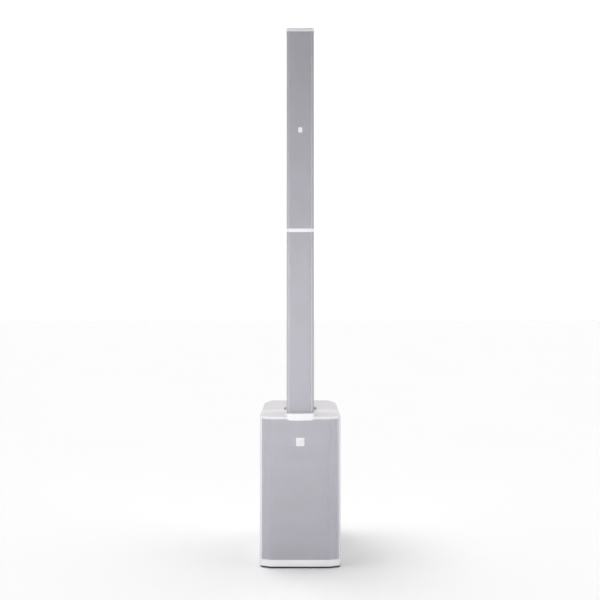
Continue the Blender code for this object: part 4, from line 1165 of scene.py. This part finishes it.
# ---- stage
# broad patches of sky light: where each comes from, its strength, its width in degrees, and whether
# it lights the floor only or all but the floor
SKIES = [
    ("floor_sky_left", (-1.0, 0.28, 2.2), 1.76, 45.0, True),
    ("floor_sky_right", (1.0, 0.22, 1.4), 1.04, 55.0, True),
    ("top_sky", (0.0, 0.22, 1.0), 1.52, 40.0, False),
    ("side_sky_left", (-1.0, 0.12, 0.8), 0.80, 45.0, False),
    ("side_sky_right", (1.0, 0.12, 0.8), 0.80, 45.0, False),
]
SOFTBOX_POWER = 13.6
# brightness that each range of directions along Y adds to the room: from and to brightness and direction
ROOM_TERMS = [(0.06, 0.20, -0.4, 0.3), (0.0, 0.87, 0.55, 0.8)]


def make_floor():
    """A wide pale floor, out of sight at its edges."""
    bm = bmesh.new()
    bmesh.ops.create_grid(bm, x_segments=2, y_segments=2, size=30.0)
    made, tree, shader = shader_of("studio_floor", (0.98, 0.98, 0.98), 0.75)
    stops = [(0.3, (0.975, 0.975, 0.975)), (0.7, (0.985, 0.985, 0.985))]
    add_colours(tree, noise_value(tree, coordinates(tree), 0.8, 3.0), stops, shader.inputs["Base Color"])
    shader.inputs["Specular IOR Level"].default_value = 0.1
    floor = placed("studio_floor", finished(bm))
    floor.data.materials.append(made)
    return floor


def add_light(name, kind, towards, strength, floor, floor_only=False):
    """A lamp that looks back along a direction and lights either the floor or all but the floor."""
    light = bpy.data.lights.new(name, kind)
    light.energy = strength
    obj = placed(name, light)
    obj.rotation_euler = Vector(towards).to_track_quat("Z", "Y").to_euler()
    obj.visible_camera = False
    lit = bpy.data.collections.new(f"{name}_links")
    lit.objects.link(floor)
    obj.light_linking.receiver_collection = lit
    lit.collection_objects[0].light_linking.link_state = "INCLUDE" if floor_only else "EXCLUDE"
    return obj


def make_lights(floor):
    for name, direction, strength, spread, floor_only in SKIES:
        add_light(name, "SUN", direction, strength, floor, floor_only).data.angle = math.radians(spread)
    softbox = add_light("front_softbox", "AREA", (-0.20, -1.30, 0.0), SOFTBOX_POWER, floor)
    softbox.location = (-0.20, -1.50, 0.80)
    softbox.data.shape = "RECTANGLE"
    softbox.data.size, softbox.data.size_y = 0.5, 1.0


def make_world():
    """A white room: dim on the listener's side, and bright straight behind the object."""
    world = bpy.data.worlds.new("studio")
    world.use_nodes = True
    tree = world.node_tree
    direction = new_node(tree, "TexCoord").outputs["Generated"]
    along_y = new_node(tree, "SeparateXYZ", direction).outputs["Y"]
    total = new_node(tree, "Math")
    total.operation = "ADD"
    for i, (low, high, from_low, from_high) in enumerate(ROOM_TERMS):
        add_range(tree, along_y, low, high, total.inputs[i], from_low, from_high)
    background = tree.nodes["Background"]
    tree.links.new(total.outputs["Value"], background.inputs["Strength"])
    background.inputs["Color"].default_value = (1.0, 1.0, 1.0, 1.0)
    bpy.context.scene.world = world


def make_camera():
    camera = bpy.data.cameras.new("camera")
    camera.sensor_width = 36.0
    camera.lens = 39.52
    camera.clip_start = 0.05
    obj = placed("camera", camera)
    obj.location = (-0.001, -2.638, 0.9905)
    obj.rotation_euler = (math.radians(90), 0, 0)
    bpy.context.scene.camera = obj


bpy.context.scene.view_settings.view_transform = "Standard"
make_camera()
make_world()
make_lights(make_floor())

make_cabinet()
make_plinth()
make_feet_and_plate()
make_cap()
make_collar()
make_handle()
make_sub_front()
make_panel()
make_display()
make_knobs_and_button()
make_jacks()
make_mains()
make_heat_sink()
make_panel_print()
make_section("lower")
make_section("upper")
make_column_caps()
make_badge("column_badge", "upper_column", 0.0015, 0.0012, 0.0002, "small_badge", "small_badge")
dress_inside()
